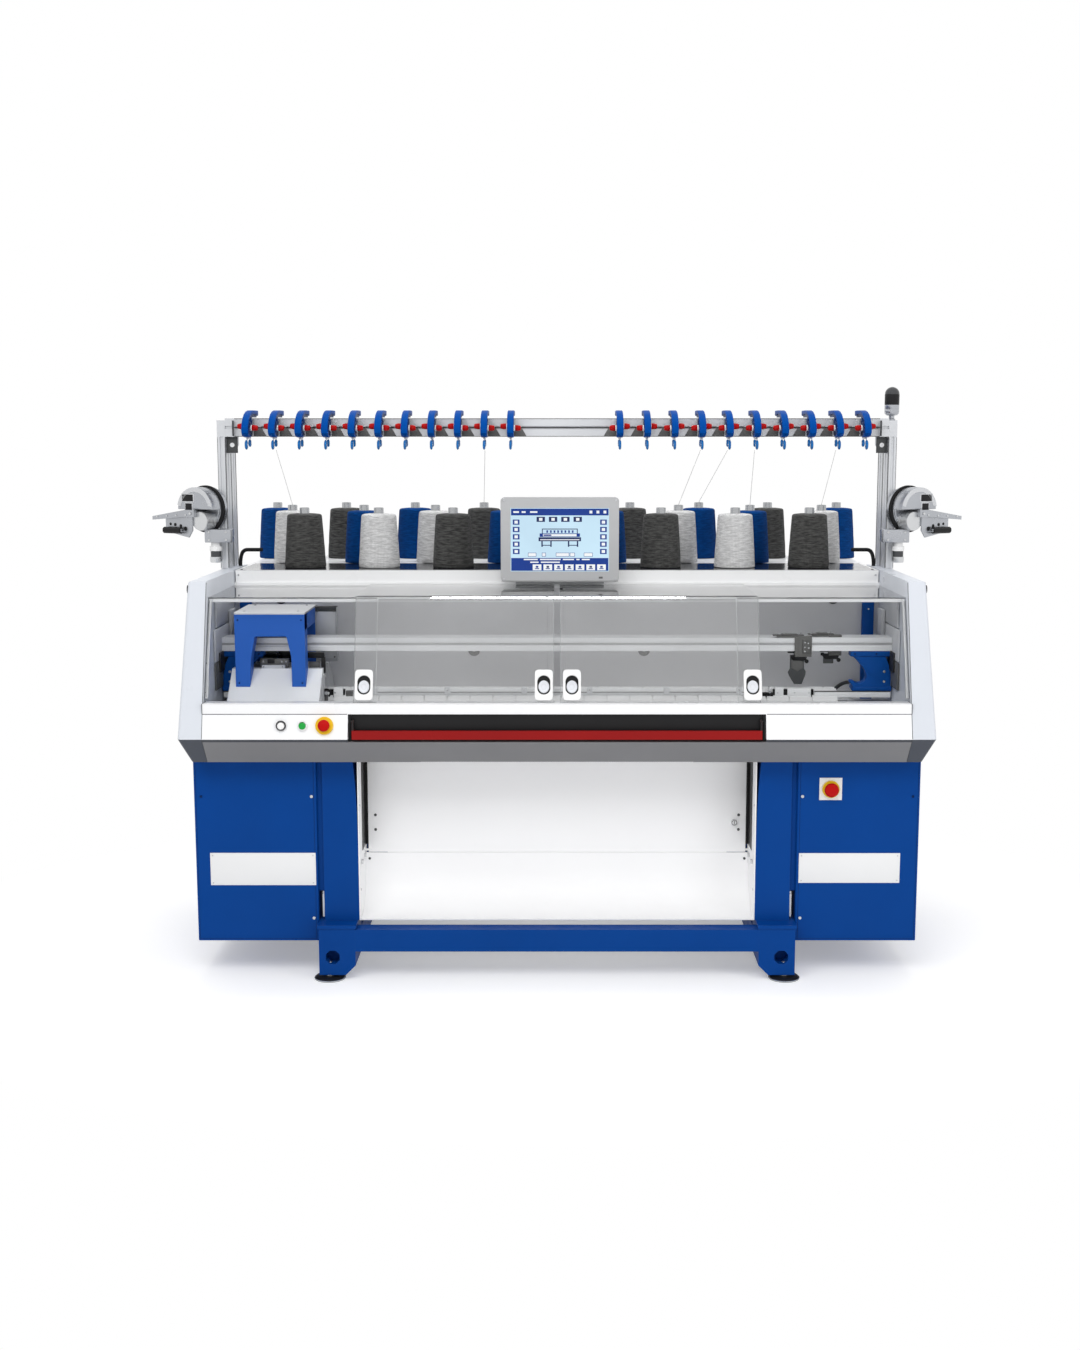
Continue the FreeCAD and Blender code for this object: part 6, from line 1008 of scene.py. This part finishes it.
def build_carriage():
    """Trim of the carriage: the tab, seams and screws of the covers, and the mechanism beside the bow."""
    trim = Piece("carriage_trim")
    for low, high, look, round_off in (
            ((-1.106, -0.4485, 1.2588), (-0.8665, -0.43, 1.2648), CARRIAGE, 0.001),
            ((-1.043, -0.244, 1.066), (-0.928, -0.212, 1.112), black, 0.002),
            ((-1.036, -0.372, 1.066), (-0.936, -0.354, 1.096), gunmetal, 0.002),
            ((-1.01, -0.374, 1.08), (-0.985, -0.352, 1.094), black, 0.001),
            ((-1.027, -0.3905, 1.058), (-0.947, -0.376, 1.0755), CARRIAGE, 0.0015),
            ((-0.812, -0.372, 1.098), (-0.872, -0.353, 1.118), black, 0.002),
            ((-0.8235, -0.368, 1.044), (-0.8095, -0.354, 1.1), black, 0.002),
            ((-0.866, -0.364, 1.06), (-0.83, -0.352, 1.084), gunmetal, 0.002),
            ((-0.8145, -0.44, 0.925), (-0.811, -0.372, 1.04), light_grey, 0.0012),
            ((-0.8125, -0.3905, 0.95), (-0.799, -0.385, 0.99), gunmetal, 0.001),
            ((-0.86, -0.2075, 1.075), (-0.794, -0.2068, 1.25), light_grey, 0.0004)):
        trim.box(low, high, look, round_off)
    screw(trim, ((-1.025, -0.96, -0.945), -0.372, 1.086), FRONT, 0.003)
    screw(trim, ((-1.02, -0.955), -0.3905, 1.07), FRONT, 0.002, gunmetal)
    screw(trim, ((-1.08, -0.895), (-0.4, -0.2), 1.265), (0, 0, 1))
    screw(trim, (-0.8035, -0.3945, 0.978), FRONT, 0.006)
    screw(trim, ((-0.856, -0.798), -0.2072, (1.08, 1.245)), FRONT, 0.003, gunmetal)
    for x, z, radius in ((-0.817, 1.036, 0.0095), (-0.83, 1.012, 0.0055), (-0.826, 0.992, 0.0055)):
        trim.lathe([(0, 0), (radius, 0), (radius, 0.004), (radius * 0.8, 0.0055), (radius * 0.4, 0.0055),
                    (radius * 0.35, 0.003), (0, 0.003)], zinc, at(x, -0.372, z, facing(FRONT)), 28)
    trim.tube([(-0.803 - 0.013 * math.cos(math.radians(a)), -0.392, 0.978 + 0.013 * math.sin(math.radians(a)))
               for a in range(-60, 241, 20)], 0.0036, black)
    trim.done("carriage", slot="grey_paint")


def build_feeders():
    """Yarn feeders: stacked guide plates, screwed cheeks over the rail, a black clamp and a chevron nose.
    Each one has its own rail (y), and X from and to for its guide plates (p) and its block (b)."""
    for node, body, y, (p0, p1), (b0, b1), nose in (
            ("feeder_1", "feeder_one", -0.335, (0.756, 0.892), (0.832, 0.892), 0.842),
            ("feeder_2", "feeder_two", -0.3, (0.884, 1.002), (0.958, 1.002), 0.96),
            ("feeder_3", "feeder_three", -0.265, (-1.04, -0.925), (-1.04, -0.992), -1.02)):
        piece = Piece(f"yarn_{node}")
        forms = [(b0, b1, -0.0135, -0.0082, 1.099, 1.172, feeder_grey, 0.0015),
                 (b0, b1, 0.0082, 0.0135, 1.099, 1.172, feeder_grey, 0.0015),
                 (b0 + 0.002, b1 - 0.002, -0.0084, 0.0084, 1.099, 1.1165, feeder_grey, 0.001),
                 (p0 + 0.014, p1, -0.0125, 0.0125, 1.1672, 1.1722, feeder_grey, 0.0015),
                 (p0, p1 - 0.028, -0.0105, 0.0105, 1.172, 1.1765, gunmetal, 0.0015),
                 (p0 + 0.03, p1 - 0.05, -0.012, 0.012, 1.1763, 1.1795, feeder_grey, 0.0012),
                 (b1 - 0.034, b1 - 0.004, -0.0153, -0.0125, 1.112, 1.162, gunmetal, 0.001),
                 (nose - 0.034, nose + 0.004, -0.0125, -0.002, 1.112, 1.1175, black, 0.001)]
        plates = [(-0.011, 0.02, black, 0.001, [
            (-0.024, 1.104), (0.03, 1.104), (0.034, 1.096), (0.028, 1.086), (-0.014, 1.086),
            (-0.024, 1.097)])]
        if node == "feeder_2":
            forms += [(nose - 0.02, nose + 0.016, -0.004, 0.004, 1.07, 1.1, nose_grey, 0.0012),
                      (nose - 0.029, nose - 0.018, -0.006, 0.006, 1.098, 1.108, black, 0.0012)]
        else:
            plates += [(-0.004, 0.008, nose_grey, 0.0012, [
                (-0.024, 1.1), (0.024, 1.1), (0.026, 1.056), (0.032, 1.046), (0.031, 1.034), (0.018, 1.001),
                (-0.008, 1.001), (-0.026, 1.03), (-0.031, 1.043), (-0.024, 1.056)]),
                (-0.0062, 0.0024, gunmetal, 0.0008, [
                    (-0.02, 1.086), (0.02, 1.086), (0.021, 1.058), (0.003, 1.046), (-0.02, 1.058)])]
        for x0, x1, y0, y1, z0, z1, look, round_off in forms:
            piece.box((x0, y + y0, z0), (x1, y + y1, z1), look, round_off)
        for start, thickness, look, round_off, outline in plates:
            piece.plate([(nose + x, y + start, z) for x, z in outline], (0, thickness, 0), look,
                        round_off=round_off)
        for x, level in ((p0 + 0.012, 1.1763), (p0 + 0.04, 1.1793), (p1 - 0.036, 1.1793)):
            piece.lathe([(0, 0), (0.004, 0), (0.004, 0.0022), (0.003, 0.003), (0, 0.003)], zinc,
                        at(x, y, level), 16)
        for x, z in ((0.025, 1.15), (0.013, 1.147), (0.025, 1.133), (0.025, 1.119), (0.011, 1.131)):
            screw(piece, (b1 - x, y - 0.0151, z), FRONT, 0.003)
        piece.lathe([(0, 0), (0.0065, 0), (0.0072, 0.001), (0.0072, 0.0075), (0.006, 0.009), (0, 0.009)],
                    black, at(nose + 0.033, y - 0.004, 1.083, facing(FRONT)), 24)
        piece.done(body, slot="dark_metal", replaces=[node])


# ---------------------------------------------------------------- cords

def curve_cord(name, points, diameter, material):
    """A round cord along points, which rides on the machine."""
    data = bpy.data.curves.new(name, "CURVE")
    data.dimensions = "3D"
    data.bevel_depth = diameter / 2
    data.bevel_resolution = 4
    spline = data.splines.new("NURBS")
    spline.points.add(len(points) - 1)
    for corner, point in zip(spline.points, points):
        corner.co = (*point, 1)
    spline.order_u = 3
    spline.use_endpoint_u = True
    spline.resolution_u = 12
    data.materials.append(material)
    cord = show(name, data)
    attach(cord, "machine")
    return cord


# cone that each thread starts from, and yarn control unit that it runs to
YARN_PAIRS = ((7, 1), (8, 9), (17, 14), (21, 15), (18, 16), (19, 19))


def build_cords():
    """Taut threads from the cones to the yarn arms, and the two hoses at the ends of the shelf."""
    places = cone_places()
    for number, (cone, unit) in enumerate(YARN_PAIRS):
        start = Vector((*places[cone][:2], 1.601))
        end = Vector((UNITS[unit][0], -0.027, 1.813))
        points = [start, start.lerp(end, 0.25), (start + end) / 2, start.lerp(end, 0.75), end]
        cord = curve_cord(f"yarn_thread_{number}", points, 0.0016, thread)
        if number == 0:
            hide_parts("yarns")
    for name, side in (("left", -1), ("right", 1)):
        foot = Vector((side * 1.194, 0.135, 1.38))
        points = [foot + Vector((-side * inward, 0, rise))
                  for inward, rise in ((0, 0), (0, 0.028), (0.012, 0.061), (0.045, 0.061), (0.085, 0.061))]
        hose = curve_cord(f"hose_{name}", points, 0.014, rubber)
        if name == "left":
            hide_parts("hoses")


# ---------------------------------------------------------------- camera, floor and light

WORLD_LIGHT = 0.56
FLOOR_GLOW = 0.3
LAMPS = (
    ("key", (-1.0, -4.2, 4.4), (0, -0.2, 0.9), (4.5, 2.5), 122),
    ("fill", (3.8, -3.6, 2.4), (0, -0.2, 1.0), (2.5, 2.5), 40),
    ("top", (0, 0.6, 4.8), (0, 0.2, 1.2), (4.5, 2.5), 78),
)
SENSOR = 36
PICTURE_HEIGHT, FOCAL_LENGTH, CENTRE_SHIFT = 1350, 1610, -17    # in pixels of the picture


def shown_rays(tree):
    """1 for what the camera, a gloss or clear plastic looks at."""
    rays = add(tree, "LightPath").outputs
    glossy = calculate(tree, "MAXIMUM", rays["Is Camera Ray"], rays["Is Glossy Ray"])
    return calculate(tree, "MAXIMUM", glossy, rays["Is Transmission Ray"])


def build_floor():
    """A pale floor that goes over into the white of the background as it gets farther away."""
    material, tree, principled, vector = shader("floor_pale")
    relief = add(tree, "Bump", {"Strength": 0.02, "Height": noise(tree, vector, 30.0)})
    put(principled, {"Base Color": (0.93, 0.93, 0.93, 1), "Roughness": 0.9,
                     "Normal": relief.outputs["Normal"]})
    glow, bare = add(tree, "Emission", {"Strength": FLOOR_GLOW}), add(tree, "Emission")
    near = add(tree, "AddShader", {0: principled.outputs[0], 1: glow.outputs[0]})
    place = add(tree, "NewGeometry").outputs["Position"]
    narrowed = add(tree, "Mapping", {"Scale": (0.75, 1.0, 1.0), "Vector": place})
    reach = add(tree, "VectorMath", {0: narrowed.outputs["Vector"]}, operation="LENGTH").outputs["Value"]
    fading = add(tree, "MixShader", {0: spread(tree, reach, 0.0, 1.0, 1.0, 1.9),
                                     1: near.outputs[0], 2: bare.outputs[0]})
    shown = add(tree, "MixShader", {0: shown_rays(tree), 1: principled.outputs[0], 2: fading.outputs[0]})
    put(tree.nodes["Material Output"], {"Surface": shown.outputs[0]})
    bpy.ops.mesh.primitive_plane_add(size=40, location=(0, 4, 0))
    floor = bpy.context.object
    floor.name = "floor"
    floor.data.materials.append(material)


def build_stage():
    """The floor, a white surround that lights less than it shows, three soft lamps and the photo's camera."""
    build_floor()
    scene = bpy.context.scene
    scene.view_settings.view_transform = "Standard"
    scene.world = bpy.data.worlds.new("studio")
    scene.world.use_nodes = True
    tree = scene.world.node_tree
    put(tree.nodes["Background"], {"Color": (1, 1, 1, 1),
                                   "Strength": spread(tree, shown_rays(tree), WORLD_LIGHT, 1.0, 0.0, 1.0)})
    for name, place, target, size, power in LAMPS:
        data = bpy.data.lights.new(name, "AREA")
        data.energy = power
        data.shape = "RECTANGLE"
        data.size, data.size_y = size
        lamp = show(name, data)
        lamp.location = place
        lamp.rotation_euler = (Vector(target) - Vector(place)).to_track_quat("-Z", "Y").to_euler()
        lamp.visible_glossy = False
    data = bpy.data.cameras.new("camera")
    data.sensor_width = SENSOR
    data.lens = FOCAL_LENGTH / PICTURE_HEIGHT * SENSOR
    data.shift_x = CENTRE_SHIFT / PICTURE_HEIGHT
    scene.camera = show("camera", data)
    scene.camera.location = (0, -5.935, 1.86)
    scene.camera.rotation_euler = (math.radians(90 - 8.4), 0, 0)


thread = painted("thread", (0.8, 0.8, 0.78), rough=0.9, edge=0, grain=3000)
build_stage()
build_cones()
build_units()
build_lamp()
build_feed_units()
build_monitor()
build_front()
build_pane_edges()
build_cabinets()
build_legs()
build_lower()
build_bed_fittings()
build_wall_fittings()
build_rear_trim()
build_controls()
build_handles()
build_rail_brackets()
build_bow()
build_carriage()
build_feeders()
build_cords()
